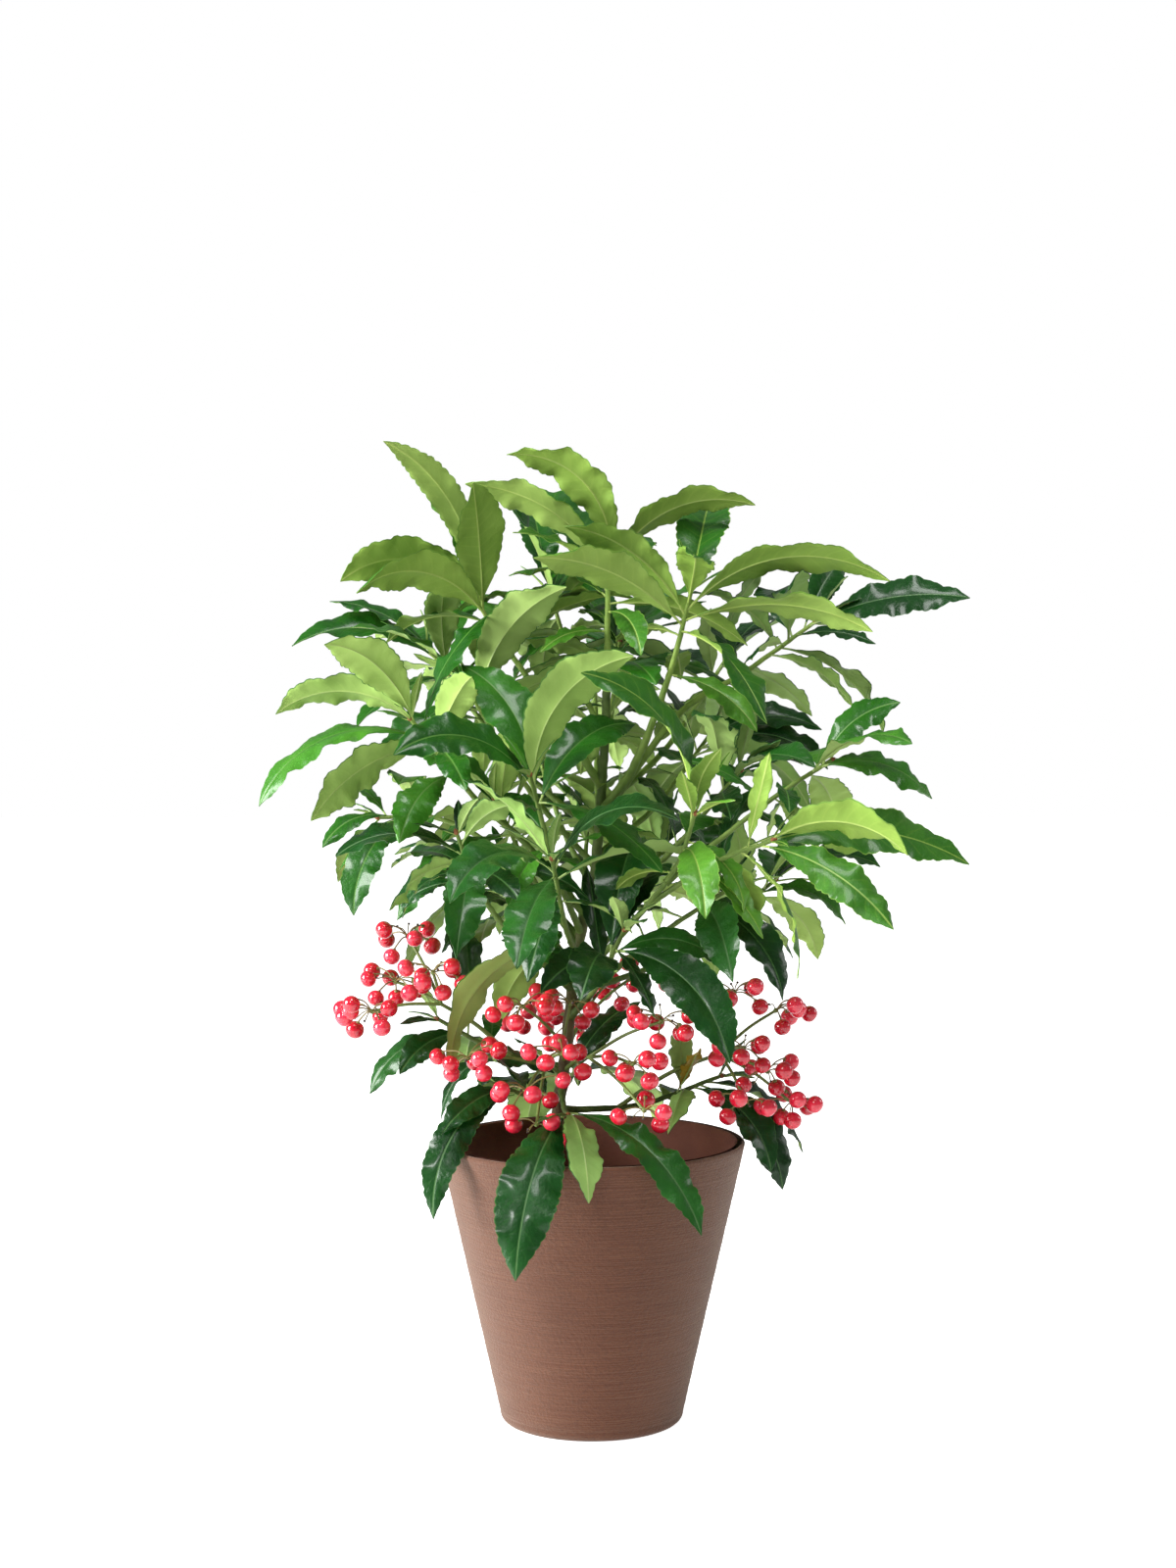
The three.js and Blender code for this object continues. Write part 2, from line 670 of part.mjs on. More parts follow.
// Everything that a leaf or berry must stay clear of, by the shoot it belongs to
const taken = [];

// A blade may touch its own stem, and its sisters only near their feet
function isFree(probe, owner, amongSisters) {
  return taken.every((other) => {
    const passes = other.owner === owner && !(amongSisters && other.blade);
    return passes || !near(other.solid, probe) || probe.intersect(other.solid).isEmpty();
  });
}

// How far the blade stands off the shoot sets where on it the leaf is seated:
// upright ones at the tip, spreading ones below
function seatLeaf(shoot, direction) {
  const { stem } = shoot;
  const angle = direction.angleTo(headingOn(stem, stem.length)) / degree;
  const share = THREE.MathUtils.clamp((angle - whorl.seatFrom) / whorl.seatOver, 0.02, 1);
  let below = share * Math.min(whorl.depth, stem.length / 2);
  while (shoot.seats.some((seat) => Math.abs(seat - below) < whorl.seatApart)) {
    below += whorl.seatApart / 3;
  }
  return { below, foot: pointOn(stem, stem.length - below) };
}

function leafWidth(length, random) {
  return length * leafAspect * (1 + aspectPlay * (random() - 0.5));
}

// A long leaf whose tip is a given point
function leafTo(shoot, goal, random) {
  const [x, y, z, face, bendDegrees, widthShare = 1] = goal;
  const end = new THREE.Vector3(x, y, z);
  const seat = seatLeaf(shoot, end.clone().sub(new THREE.Vector3(...shoot.tip)));
  const chord = end.clone().sub(seat.foot);
  const heading = Math.atan2(chord.y, chord.x);
  const bend = bendDegrees * degree;
  const slope = Math.asin(chord.z / chord.length()) + bend / 2;
  const length = (chord.length() * (bend / 2)) / Math.sin(bend / 2);
  const width = leafWidth(length, random) * widthShare;
  const roll = face * degree * (Math.cos(heading) >= 0 ? 1 : -1);
  return { ...seat, heading, slope, bend, length, width, roll, stations: longStations };
}

// A leaf on the shoot's spiral
function leafOnSpiral(shoot, index, random) {
  const axis = headingOn(shoot.stem, shoot.stem.length);
  const side = new THREE.Vector3(axis.y, -axis.x, 0);
  if (side.length() < uprightBelow) {
    side.set(1, 0, 0);
  }
  side.normalize();
  const other = axis.clone().cross(side);
  const play = (amount) => amount * (random() - 0.5);
  const share = (index + 0.5) / shoot.count;
  const around = (shoot.turn + whorl.turn * index + play(whorl.turnPlay)) * degree;
  const open = (whorl.openFrom + whorl.openBy * share + play(whorl.openPlay)) * degree;
  const direction = axis.clone().multiplyScalar(Math.cos(open))
    .addScaledVector(side, Math.sin(open) * Math.cos(around))
    .addScaledVector(other, Math.sin(open) * Math.sin(around));
  const length = shoot.size * (whorl.sizeFrom + whorl.sizeBy * share + play(whorl.sizePlay));
  const width = leafWidth(length, random);
  const bend = (whorl.bendFrom + whorl.bendBy * random()) * degree;
  const slope = Math.asin(Math.max(whorl.lowest, direction.z)) + whorl.lift * degree;
  const roll = play(whorl.rollPlay) * degree;
  const heading = Math.atan2(direction.y, direction.x);
  const seat = seatLeaf(shoot, direction);
  return { ...seat, heading, slope, bend, length, width, roll, stations: shortStations };
}

// A leaf that would touch something is turned and lifted a little, by degrees that
// are tried in this order, else it is skipped
const nudges = [
  [0, 0], [5, 0], [-5, 0], [0, 6], [0, -6], [10, 4], [-10, 4], [10, -6], [-10, -6],
  [17, 0], [-17, 0], [0, 13], [0, -13], [24, 8], [-24, 8],
];

function placeLeaf(shoot, wanted) {
  const leaf = nudges.map(([turn, lift]) => ({
    ...wanted,
    heading: wanted.heading + turn * degree,
    slope: wanted.slope + lift * degree,
  })).find((tried) => (
    isFree(leafProbe(tried, clearFrom), shoot.name, false)
    && isFree(leafProbe(tried, ownClearFrom), shoot.name, true)
  ));
  if (leaf) {
    const solid = leafSolid(leaf);
    shoot.leaves.push(leaf);
    shoot.seats.push(leaf.below);
    shoot.solids.push(solid);
    taken.push({ owner: shoot.name, solid, blade: true });
  }
}

// Berries and knobs: a faceted ball, its first face square to the stalk it meets
const berryShape = unpacked(new THREE.IcosahedronGeometry(1, 0));
const knobShape = unpacked(new THREE.OctahedronGeometry(1, 0));

function ball(shape, centre, radius, stalkSide) {
  const firstFace = new THREE.Vector3();
  shape.faces[0].forEach((corner) => firstFace.add(shape.points[corner]));
  const turn = new THREE.Quaternion().setFromUnitVectors(firstFace.normalize(), stalkSide);
  const place = (corner) => (
    corner.clone().applyQuaternion(turn).multiplyScalar(radius).add(centre)
  );
  return toSolid(shape.points.map(place), shape.faces);
}

function stalk(from, to, radius, sides) {
  const heading = to.clone().sub(from).normalize();
  const side = new THREE.Vector3(0, 1, 0).cross(heading);
  if (side.length() < uprightBelow) {
    side.set(1, 0, 0);
  }
  side.normalize();
  const other = heading.clone().cross(side);
  return skin([from, to].map((end) => ringAt(end, side, other, radius, sides)));
}

// How far a point lies from the straight line between two others
function offLine(point, from, to) {
  const nearest = new THREE.Line3(from, to).closestPointToPoint(point, true, new THREE.Vector3());
  return nearest.distanceTo(point);
}

// One berry of an umbel, hung where neither it nor its stalk meets another
function hangBerry(truss, hub, end, around, down, reach) {
  const stalkRoom = berryRadius + stalkApart;
  for (let i = 0; i < umbel.tries; i += 1) {
    const swing = (around + umbel.tryTurn * i) * degree;
    const long = reach * (1 + umbel.tryGrowth * i);
    const centre = end.clone().add(new THREE.Vector3(
      long * Math.sin(down) * Math.cos(swing),
      long * Math.sin(down) * Math.sin(swing),
      -long * Math.cos(down),
    ));
    const line = end.clone().sub(centre).normalize();
    const clear = offLine(centre, hub, end) > stalkRoom && truss.berries.every((other) => (
      other.centre.distanceTo(centre) > 2 * berryRadius + berryApart
      && offLine(other.centre, end, centre) > stalkRoom
      && offLine(centre, other.root, other.centre) > stalkRoom
    ));
    const probe = ball(berryShape, centre, berryRadius + leafMargin, line);
    if (clear && isFree(probe, truss.node, false)) {
      const root = end.clone().addScaledVector(line, -knobSunk * knobRadius);
      truss.berries.push({ centre, root, line });
      return;
    }
  }
}

// An umbel's stalks leave the knob that its own stalk ends in
function growUmbel(truss, hub, place, random) {
  const [x, y, z, count] = truss.umbels[place];
  for (let k = 0; k < count; k += 1) {
    const play = umbel.turnPlay * random();
    const around = truss.turn + umbel.turn * place + whorl.turn * k + play;
    const down = (umbel.downFrom + umbel.downBy * Math.sqrt((k + 0.5) / count)) * degree;
    const reach = umbel.reach + umbel.reachPlay * random();
    hangBerry(truss, hub, new THREE.Vector3(x, y, z), around, down, reach);
  }
}

function growTruss(truss, index) {
  const hub = new THREE.Vector3(...truss.hub);
  const random = seeded(trussSeed + index);
  const pieces = [stalk(rootOf(truss), hub, peduncleRadius, 5)];
  truss.node = `berries_${truss.name}`;
  truss.berries = [];
  truss.umbels.forEach(([x, y, z], place) => {
    const end = new THREE.Vector3(x, y, z);
    const back = hub.clone().sub(end).normalize();
    pieces.push(stalk(hub, end, umbelRadius, 4), ball(knobShape, end, knobRadius, back));
    growUmbel(truss, hub, place, random);
  });
  truss.berries.forEach(({ centre, root, line }) => {
    const inside = centre.clone().addScaledVector(line, berryRadius * (1 - stalkSunk));
    pieces.push(ball(berryShape, centre, berryRadius, line));
    pieces.push(stalk(root, inside, pedicelRadius, 3));
  });
  truss.solid = tidied(clearOfLimbs(wasm.Manifold.union(pieces)));
  taken.push({ owner: truss.node, solid: truss.solid, blade: false });
}

// Pot: a tapered clay cup with a rounded foot and a slightly bevelled rim
const potLean = (rimRadius - footRadius) / (potHeight - footRound);

function potInside(height) {
  return footRadius + potLean * (height - footRound) - potWall;
}

function potSolid() {
  const arc = footRound * (1 - Math.SQRT1_2);
  return turned([
    [0, 0],
    [footRadius - footRound, 0],
    [footRadius - arc, arc],
    [footRadius, footRound],
    [rimRadius - potLean * rimBevel, potHeight - rimBevel],
    [rimRadius - rimBevel, potHeight],
    [rimRadius - potWall + rimBevel, potHeight],
    [potInside(potHeight - rimBevel), potHeight - rimBevel],
    [potInside(potFloor), potFloor],
    [0, potFloor],
  ]);
}

function soilSolid() {
  const low = potFloor + gap;
  const edge = soilTop - soilSag;
  return turned([
    [0, low],
    [potInside(low) - gap, low],
    [potInside(edge) - gap, edge],
    [potInside(soilTop) - soilSlope, soilTop],
    [0, soilTop],
  ]);
}

// Growth order: wood first, then berries, then the leaves that have a goal, and
// last the leaves that fill the spirals between them
growTrunk();
shoots.forEach(growShoot);

const pot = potSolid();
const soil = soilSolid();
taken.push({ owner: 'pot', solid: pot, blade: false });
taken.push({ owner: 'soil', solid: soil, blade: false });
Object.values(limbs).forEach(({ name, swollen }) => {
  taken.push({ owner: name.replace('stem_', ''), solid: swollen, blade: false });
});
trusses.forEach(growTruss);

shoots.forEach((shoot, index) => {
  shoot.random = seeded(index + 1);
  shoot.leaves = [];
  shoot.seats = [];
  shoot.solids = [shoot.stem.solid];
  shoot.reach.forEach((goal) => placeLeaf(shoot, leafTo(shoot, goal, shoot.random)));
});

shoots.forEach((shoot) => {
  const chord = (leaf) => leafFrame(leaf, 1).point.sub(leaf.foot);
  const aimed = shoot.leaves.map(chord);
  for (let i = 0; i < shoot.count; i += 1) {
    const leaf = leafOnSpiral(shoot, i, shoot.random);
    if (aimed.every((other) => other.angleTo(chord(leaf)) > whorl.crowded * degree)) {
      placeLeaf(shoot, leaf);
    }
  }
});

// The finished part
const plant = new THREE.Group();
plant.name = 'potted_ardisia';

function addNode(name, solid, finish) {
  const mesh = solid.getMesh();
  const geometry = new THREE.BufferGeometry();
  geometry.setAttribute('position', new THREE.BufferAttribute(mesh.vertProperties, 3));
  geometry.setIndex(new THREE.BufferAttribute(mesh.triVerts, 1));
  geometry.computeVertexNormals();
  const node = new THREE.Mesh(geometry, finishes[finish]);
  node.name = name;
  plant.add(node);
}

addNode('pot', pot, 'pot_clay');
addNode('soil', soil, 'potting_soil');
Object.values(limbs).filter(({ kind }) => kind !== 'stem').forEach(({ name, solid }) => {
  addNode(name, solid, 'stem_bark');
});
shoots.forEach(({ name, solids, finish }) => {
  addNode(`leaves_${name}`, tidied(wasm.Manifold.union(solids)), finish);
});
trusses.forEach(({ node, solid }) => addNode(node, solid, 'berry_red'));

export default plant;
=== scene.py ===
import math
import bpy
import numpy as np
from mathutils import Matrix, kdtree
from mathutils.bvhtree import BVHTree


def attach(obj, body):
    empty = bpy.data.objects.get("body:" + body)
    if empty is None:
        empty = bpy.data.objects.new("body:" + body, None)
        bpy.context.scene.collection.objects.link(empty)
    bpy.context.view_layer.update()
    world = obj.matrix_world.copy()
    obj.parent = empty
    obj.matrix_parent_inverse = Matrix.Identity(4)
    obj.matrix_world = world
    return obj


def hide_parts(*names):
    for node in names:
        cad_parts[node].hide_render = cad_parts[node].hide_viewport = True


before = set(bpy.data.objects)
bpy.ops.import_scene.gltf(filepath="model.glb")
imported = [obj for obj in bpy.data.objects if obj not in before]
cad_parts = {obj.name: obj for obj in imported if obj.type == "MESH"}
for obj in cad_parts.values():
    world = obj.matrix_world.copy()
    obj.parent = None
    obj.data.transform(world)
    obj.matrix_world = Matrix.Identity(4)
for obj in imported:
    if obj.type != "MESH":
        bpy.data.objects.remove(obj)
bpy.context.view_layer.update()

# Camera: stands level with the crown's middle and looks down a little
cameraSet = dict(place=(-0.0022, -1.52, 0.4254), tilt=2.52, lens=62.44, film=36.0)

camera = bpy.data.objects.new("camera", bpy.data.cameras.new("camera"))
camera.location = cameraSet["place"]
camera.rotation_euler = (math.radians(90 - cameraSet["tilt"]), 0, 0)
camera.data.sensor_fit = "VERTICAL"
camera.data.sensor_height = cameraSet["film"]
camera.data.lens = cameraSet["lens"]
bpy.context.collection.objects.link(camera)
bpy.context.scene.camera = camera


# Numbers that look random and come out alike each time, as in the part's source
drawSet = dict(seedTimes=7919, seedPlus=12345, times=1664525, plus=1013904223, limit=2**32)


def seeded(seed):
    state = (seed * drawSet["seedTimes"] + drawSet["seedPlus"]) % drawSet["limit"]

    def draw():
        nonlocal state
        state = (state * drawSet["times"] + drawSet["plus"]) % drawSet["limit"]
        return state / drawSet["limit"]

    draw()
    draw()
    return draw


def unit(vector):
    return vector / np.linalg.norm(vector)


def angleBetween(a, b):
    return math.acos(max(-1.0, min(1.0, float(np.dot(unit(a), unit(b))))))


# A direction that leans away from an axis, by opened, to the side that around turns to
def leanFrom(axis, side, opened, around):
    return (axis * math.cos(opened) + side * math.sin(opened) * math.cos(around)
            + np.cross(axis, side) * math.sin(opened) * math.sin(around))


# Quads between rings of equal size, closed round the ring where it is a tube
def ringQuads(rows, columns, closed=True):
    i, j = np.meshgrid(np.arange(rows - 1), np.arange(columns if closed else columns - 1), indexing="ij")
    here, right = i * columns + j, i * columns + (j + 1) % columns
    return np.stack([here, right, right + columns, here + columns], axis=-1).reshape(-1, 4)


# Smooth line through points, measured by distance along it
lineSet = dict(samples=201, step=1e-4)


class Line:
    def __init__(self, points):
        knots = np.array(points, float)
        self.knots = np.vstack([2 * knots[0] - knots[1], knots, 2 * knots[-1] - knots[-2]])
        self.shares = np.linspace(0, 1, lineSet["samples"])
        spots = self.at(self.shares)
        steps = np.linalg.norm(np.diff(spots, axis=0), axis=1)
        self.lengths = np.concatenate([[0], np.cumsum(steps)])
        self.length = self.lengths[-1]

    def at(self, share):
        place = np.atleast_1d(share) * (len(self.knots) - 3)
        i = np.minimum(place.astype(int), len(self.knots) - 4)
        t = (place - i)[:, None]
        a, b, c, d = (self.knots[i + j] for j in range(4))
        return 0.5 * (2 * b + (c - a) * t + (2 * a - 5 * b + 4 * c - d) * t**2
                      + (3 * b - a - 3 * c + d) * t**3)

    def points(self, distances):
        return self.at(np.interp(distances, self.lengths, self.shares))

    def point(self, distance):
        return self.points(distance)[0]

    def heading(self, distance):
        share = np.atleast_1d(np.interp(distance, self.lengths, self.shares))
        low, high = np.maximum(share - lineSet["step"], 0), np.minimum(share + lineSet["step"], 1)
        step = self.at(high) - self.at(low)
        return (step / np.linalg.norm(step, axis=1)[:, None])[0]

    def fromTip(self, distance):
        return self.point(self.length - distance)

    def end(self):
        return self.point(self.length), self.heading(self.length)


# Shoots, each with one whorl at its end. Start is a height on the trunk, or a limb and the
# distance along it; the path ends at the tip. Reach holds the ends of the longest leaves, how
# far each is turned to the front, how far it bends and, where it isn't as wide as the rest, a
# share of their width. The other leaves, count of them and about size long, are on a spiral.
shootColumns = ["name", "start", "path", "thick", "count", "size", "finish", "turn", "reach"]
# Finish by shoot: the top shoots' young finish is lighter, partly because the leaves are young and partly as
# painted light for the glow through the top leaves. The dark finish of the low and inner shoots is partly
# older leaves and partly painted shade.
shoots = [dict(zip(shootColumns, row)) for row in [
    ("top", "head", [[9, 0, 487]], 2.2, 6, 78, "young", 20, [[-47, -15, 541, -50, 105, 0.85],
        [-70, -12, 525, -35, 60, 0.85], [91, 0, 514, -35, 85, 0.75], [-43, -40, 497, 15, 50],
        [30, 72, 500, 0, 55], [-30, 70, 528, 0, 40]]),
    ("upper_left", 357, [[-15, 5, 388], [-51, 12, 439], [-66, 15, 463]], 2.4, 5, 86, "young", 75, [
        [-65, -38, 524, -35, 35, 1.15], [-114, -30, 547, -60, 70, 0.5], [-139, -15, 471, -50, 115],
        [-128, -42, 464, -45, 100], [-98, 40, 527, 25, 50, 0.8]]),
    ("upper_right", 342, [[24, -6, 370], [43, -12, 420], [55, -18, 467]], 2.7, 4, 90, "young", 10, [
        [64, 30, 528, 5, 75, 1.15], [163, -30, 471, -30, 78, 0.85], [-15, -45, 500, -45, 65, 0.85],
        [152, -45, 443, -22, 50, 0.8], [-31, -70, 482, -40, 50, 0.85]]),
    ("right", 338, [[49, 15, 397], [87, 27, 421], [127, 40, 449]], 2.4, 4, 86, "dark", 35, [
        [214, 22, 463, 50, 45], [150, 70, 490, 55, 55], [160, 15, 437, 20, 50], [84, 0, 425, -40, 40],
        [105, 110, 470, 0, 45]]),
    ("left_back", 330, [[-95, 60, 435]], 2.1, 5, 84, "green", 110, [[-172, 40, 436, 35, 70],
        [-152, 60, 462, 20, 50], [-72, 110, 478, 0, 50], [-130, 125, 440, 0, 60]]),
    ("left", 285, [[-37, -12, 326], [-65, -20, 352], [-99, -30, 395]], 2.3, 4, 92, "green", 140, [
        [-142, -78, 436, -45, 75], [-174, -25, 398, -45, 100, 0.8], [-184, -20, 347, 20, 95, 0.8],
        [-150, -72, 342, -60, 60, 1.1], [-64, -70, 419, -35, 60], [-67, -75, 358, 25, 75, 0.9]]),
    ("front_left", 275, [[-33, -72, 366]], 2.0, 3, 88, "green", 250, [[-104, -100, 378, 40, 90],
        [22, -78, 430, -45, 90], [24, -10, 392, 25, 85], [-72, -20, 425, 20, 60]]),
    ("lower_left", 243, [[-45, -28, 278], [-62, -42, 303], [-73, -55, 334]], 2.1, 3, 86, "dark", 200, [
        [-71, -105, 272, 15, 85], [-107, -92, 296, -45, 70], [-138, -60, 322, 15, 75],
        [-103, -50, 288, 15, 80], [-38, -85, 300, 25, 80]]),
    ("front_fork", 246, [[22, -45, 285], [45, -74, 318], [54, -88, 346]], 2.2, 2, 74, "young", 80, [
        [-6, -105, 421, 30, 95], [67, -108, 382, -15, 25], [58, -131, 295, 25, 95]]),
    ("fork_right", ("front_fork", 104), [[95, -62, 352], [130, -40, 373]], 1.6, 3, 80, "green", 190, [
        [166, -55, 405, 55, 65, 1.15], [186, -35, 352, 35, 75]]),
    ("fork_front", ("front_fork", 84), [[64, -82, 320], [94, -98, 333]], 1.6, 1, 78, "young", 130, [
        [163, -120, 327, -45, 85, 1.15], [154, -135, 290, 40, 60, 0.9], [201, -75, 319, 45, 52, 0.9],
        [92, -112, 380, -70, 40, 0.7], [107, -112, 262, -35, 80, 0.85], [160, -62, 319, -20, 60]]),
    ("lower_front", 227, [[17, -70, 283]], 2.1, 1, 84, "dark", 60, [[72, -108, 217, 40, 75],
        [75, -62, 260, 35, 75], [28, 0, 328, 0, 110], [48, -5, 308, 0, 100], [-27, -98, 253, 45, 80],
        [-6, -124, 252, 25, 90]]),
    ("front_middle", 262, [[-21, -96, 323]], 1.9, 3, 84, "dark", 300, [[44, -135, 346, 35, 95],
        [-72, -150, 305, 20, 90]]),
    ("left_middle", 268, [[-54, -8, 350]], 1.7, 7, 78, "green", 120, [[-40, -42, 392, -35, 60],
        [-100, 30, 376, 10, 70]]),
    ("left_drop", 258, [[-26, -14, 280]], 1.5, 0, 70, "green", 0, [[-84, -26, 208, -45, 100],
        [-52, 22, 222, -35, 85], [-30, -74, 262, 20, 90], [-74, 6, 300, -20, 60]]),
    ("right_middle", 282, [[82, -12, 366]], 1.7, 6, 80, "dark", 40, [[60, -70, 398, 30, 80],
        [120, -60, 370, 20, 80]]),
    ("top_back", 372, [[16, 45, 438]], 1.7, 6, 76, "green", 330, [[-38, 5, 440, -20, 50],
        [60, 100, 470, 0, 50], [-20, 100, 480, 0, 50]]),
    ("top_left_back", 384, [[-24, 55, 466]], 1.7, 6, 76, "green", 15, [[-50, 25, 520, 30, 40],
        [-35, 110, 518, 0, 40]]),
    ("right_back", 345, [[81, 100, 430]], 2.1, 6, 84, "dark", 280, [[128, 60, 455, 20, 50],
        [69, 60, 458, -20, 40], [120, 150, 455, 0, 60]]),
    ("right_inner", 318, [[71, 58, 388]], 1.8, 4, 82, "dark", 100, [[132, 40, 388, 35, 75],
        [134, 22, 366, 30, 80], [123, 5, 342, -35, 85]]),
    ("back_left", 300, [[-33, 95, 376]], 1.9, 7, 84, "green", 55, [[-90, 120, 400, 0, 60]]),
    ("left_inner", 312, [[-72, 10, 415]], 1.8, 4, 82, "green", 215, [[-134, -8, 446, 10, 60],
        [-14, -28, 468, -40, 55], [-44, -25, 392, 30, 60]]),
    ("left_low", 272, [[-50, 14, 318], [-88, 24, 338], [-121, 30, 338]], 1.9, 4, 72, "green", 170, [
        [-156, 60, 358, 10, 60], [-134, 5, 284, 25, 80], [-152, 10, 322, 25, 80]]),
    ("lower_right", 232, [[30, -16, 270], [75, -38, 303]], 1.9, 3, 84, "dark", 265, [
        [103, -58, 244, 30, 85], [74, -92, 258, 35, 85], [112, -10, 262, 10, 85]]),
    ("right_low_back", 240, [[108, 80, 298]], 1.9, 5, 84, "green", 320, [[148, 60, 274, 20, 80],
        [172, 95, 305, 10, 75], [120, 150, 300, 0, 70]]),
    ("back_right_low", 252, [[44, 70, 318]], 1.8, 6, 82, "dark", 5, [[60, 150, 330, 0, 60]]),
    ("back_low", 262, [[-2, 120, 335]], 2.0, 7, 86, "dark", 90, [[0, 195, 345, 0, 70],
        [-48, 180, 322, 0, 80]]),
    ("back_left_low", 246, [[-52, 108, 308]], 1.8, 6, 84, "dark", 160, [[-120, 130, 310, 0, 75]]),
    ("back_upper", 335, [[2, 120, 418]], 2.0, 7, 84, "green", 30, [[10, 190, 445, 0, 65],
        [-60, 150, 460, 0, 50]]),
    ("foot_left", 199, [[-86, 0, 226]], 2.0, 3, 62, "dark", 100, [[-125, 0, 184, 25, 70],
        [-103, -35, 200, 40, 60], [-76, 40, 286, -40, 60]]),
    ("foot_right", 175, [[73, 20, 191]], 2.0, 3, 60, "dark", 40, [[94, -8, 137, 30, 75],
        [114, 10, 133, 30, 75], [122, 38, 144, 20, 70], [42, -34, 167, 160, 60],
        [47, -24, 223, -30, 35, 0.9], [66, -32, 219, 20, 30, 0.6]]),
    ("rim_front", 187, [[-13, -58, 182]], 1.7, 0, 70, "dark", 0, [[-46, -116, 105, 20, 80],
        [58, -92, 123, 20, 80, 0.65], [-2, -100, 142, 160, 90]]),
    ("rim_left", 182, [[-52, -18, 192]], 1.5, 1, 58, "dark", 60, [[-86, -60, 125, 35, 94, 0.7],
        [-80, -48, 165, 45, 70], [-62, 62, 166, 10, 80]]),
    ("rim_back", 190, [[-10, 48, 190]], 1.7, 4, 72, "dark", 150, [[-40, 118, 135, 0, 85],
        [45, 112, 140, 0, 85]]),
]]

# Berry trusses: a stalk to a hub, then one to each umbel, whose place and berries are given
trussColumns = ["name", "start", "hub", "turn", "umbels"]
trusses = [dict(zip(trussColumns, row)) for row in [
    ("front_high", 201, [-16, -14, 214], 40, [[-12, -24, 238, 6], [-38, -36, 238, 7]]),
    ("front_left", 194, [-26, -18, 203], 160, [[-68, -38, 210, 8], [-36, -52, 194, 6], [-16, -50, 214, 7],
        [-30, -60, 177, 3]]),
    ("front_right", 197, [-2, -22, 208], 250, [[38, -38, 230, 8], [22, -60, 210, 6], [28, -68, 186, 4]]),
    ("left", ("foot_left", 30), [-84, -10, 236], 80, [[-110, -4, 248, 9], [-122, -18, 233, 8],
        [-104, 10, 272, 6], [-88, -20, 255, 6]]),
    ("right", ("foot_right", 34), [72, 6, 206], 200, [[80, 2, 241, 7], [104, 10, 230, 5], [84, -22, 213, 6],
        [98, -8, 198, 6], [113, 4, 178, 7], [85, -26, 184, 4]]),
    ("back", 205, [-6, 26, 222], 300, [[8, 50, 240, 6], [32, 44, 250, 5], [-38, 44, 226, 7],
        [-12, 66, 214, 6]]),
]]

# Limbs of the plant, as lines by name
trunkSet = dict(
    line=[[-26.5, 0, 126.3], [-16, 0, 197], [-8, 0, 266], [1, 0, 304], [6, 0, 365], [8.5, 0, 414]],
    ends=(3.9, 2.3), flare=(2.6, 9), sides=22,
)
limbSet = dict(gap=0.3, tip=1.1, sag=0.07, samples=200, flare=(0.9, 3.5), sides=14)
limbs = {"trunk": Line(trunkSet["line"])}


def rootOf(start):
    if isinstance(start, tuple):
        parent, distance = start
        return limbs[parent].point(distance)
    trunk = limbs["trunk"]
    heights = trunk.points(np.linspace(0, trunk.length, limbSet["samples"] + 1))[:, 2]
    i = int(np.argmax(heights >= start))
    share = (start - heights[i - 1]) / (heights[i] - heights[i - 1])
    return trunk.point((i - 1 + share) / limbSet["samples"] * trunk.length)


def shootLine(shoot):
    tip = np.array(shoot["path"][-1], float)
    if shoot["start"] == "head":
        head, axis = limbs["trunk"].end()
        return Line([head + axis * limbSet["gap"], tip])
    root = rootOf(shoot["start"])
    if len(shoot["path"]) > 1:
        return Line([root, *shoot["path"]])
    middle = (root + tip) / 2
    middle[2] -= np.linalg.norm(tip - root) * limbSet["sag"]
    return Line([root, middle, tip])


for shoot in shoots:
    shoot["line"] = limbs[shoot["name"]] = shootLine(shoot)

# Leaves. The midrib is an arc in an upright plane; bend is how far its slope drops.
leafSet = dict(aspect=0.3, aspectPlay=0.12, foot=0.8)
whorlSet = dict(
    depth=22, seatApart=2.4, seatFrom=20, seatOver=90, seatLeast=0.02, turn=137.5, turnPlay=16,
    opened=(38, 62, 10), grown=(0.78, 0.3, 0.12), bendFrom=45, bendBy=30, lift=12, lowest=-0.3,
    rollPlay=50, crowded=30, flatAxis=0.1,
)
askew = [0.3, 0.9, 0.1]
nudges = [
    (0, 0), (5, 0), (-5, 0), (0, 6), (0, -6), (10, 4), (-10, 4), (10, -6), (-10, -6),
    (17, 0), (-17, 0), (0, 13), (0, -13), (24, 8), (-24, 8),
]
cornerSlack = 0.3  # a corner of the frame this near is the leaf's own tip


def leafArc(leaf, s):
    s = np.atleast_1d(s)
    now = leaf["slope"] - leaf["bend"] * s
    out = leaf["length"] * (math.sin(leaf["slope"]) - np.sin(now)) / leaf["bend"]
    up = leaf["length"] * (np.cos(now) - math.cos(leaf["slope"])) / leaf["bend"]
    level = np.array([math.cos(leaf["heading"]), math.sin(leaf["heading"]), 0])
    points = leaf["foot"] + out[:, None] * level
    points[:, 2] += up
    along = np.cos(now)[:, None] * level
    along[:, 2] = np.sin(now)
    flat = np.array([-level[1], level[0], 0])
    return points, flat, np.cross(along, flat)


def leafTip(leaf):
    return leafArc(leaf, 1)[0][0]


def pointed(direction, lowest, lift):
    slope = math.asin(max(lowest, direction[2])) + math.radians(lift)
    return dict(heading=math.atan2(direction[1], direction[0]), slope=slope)


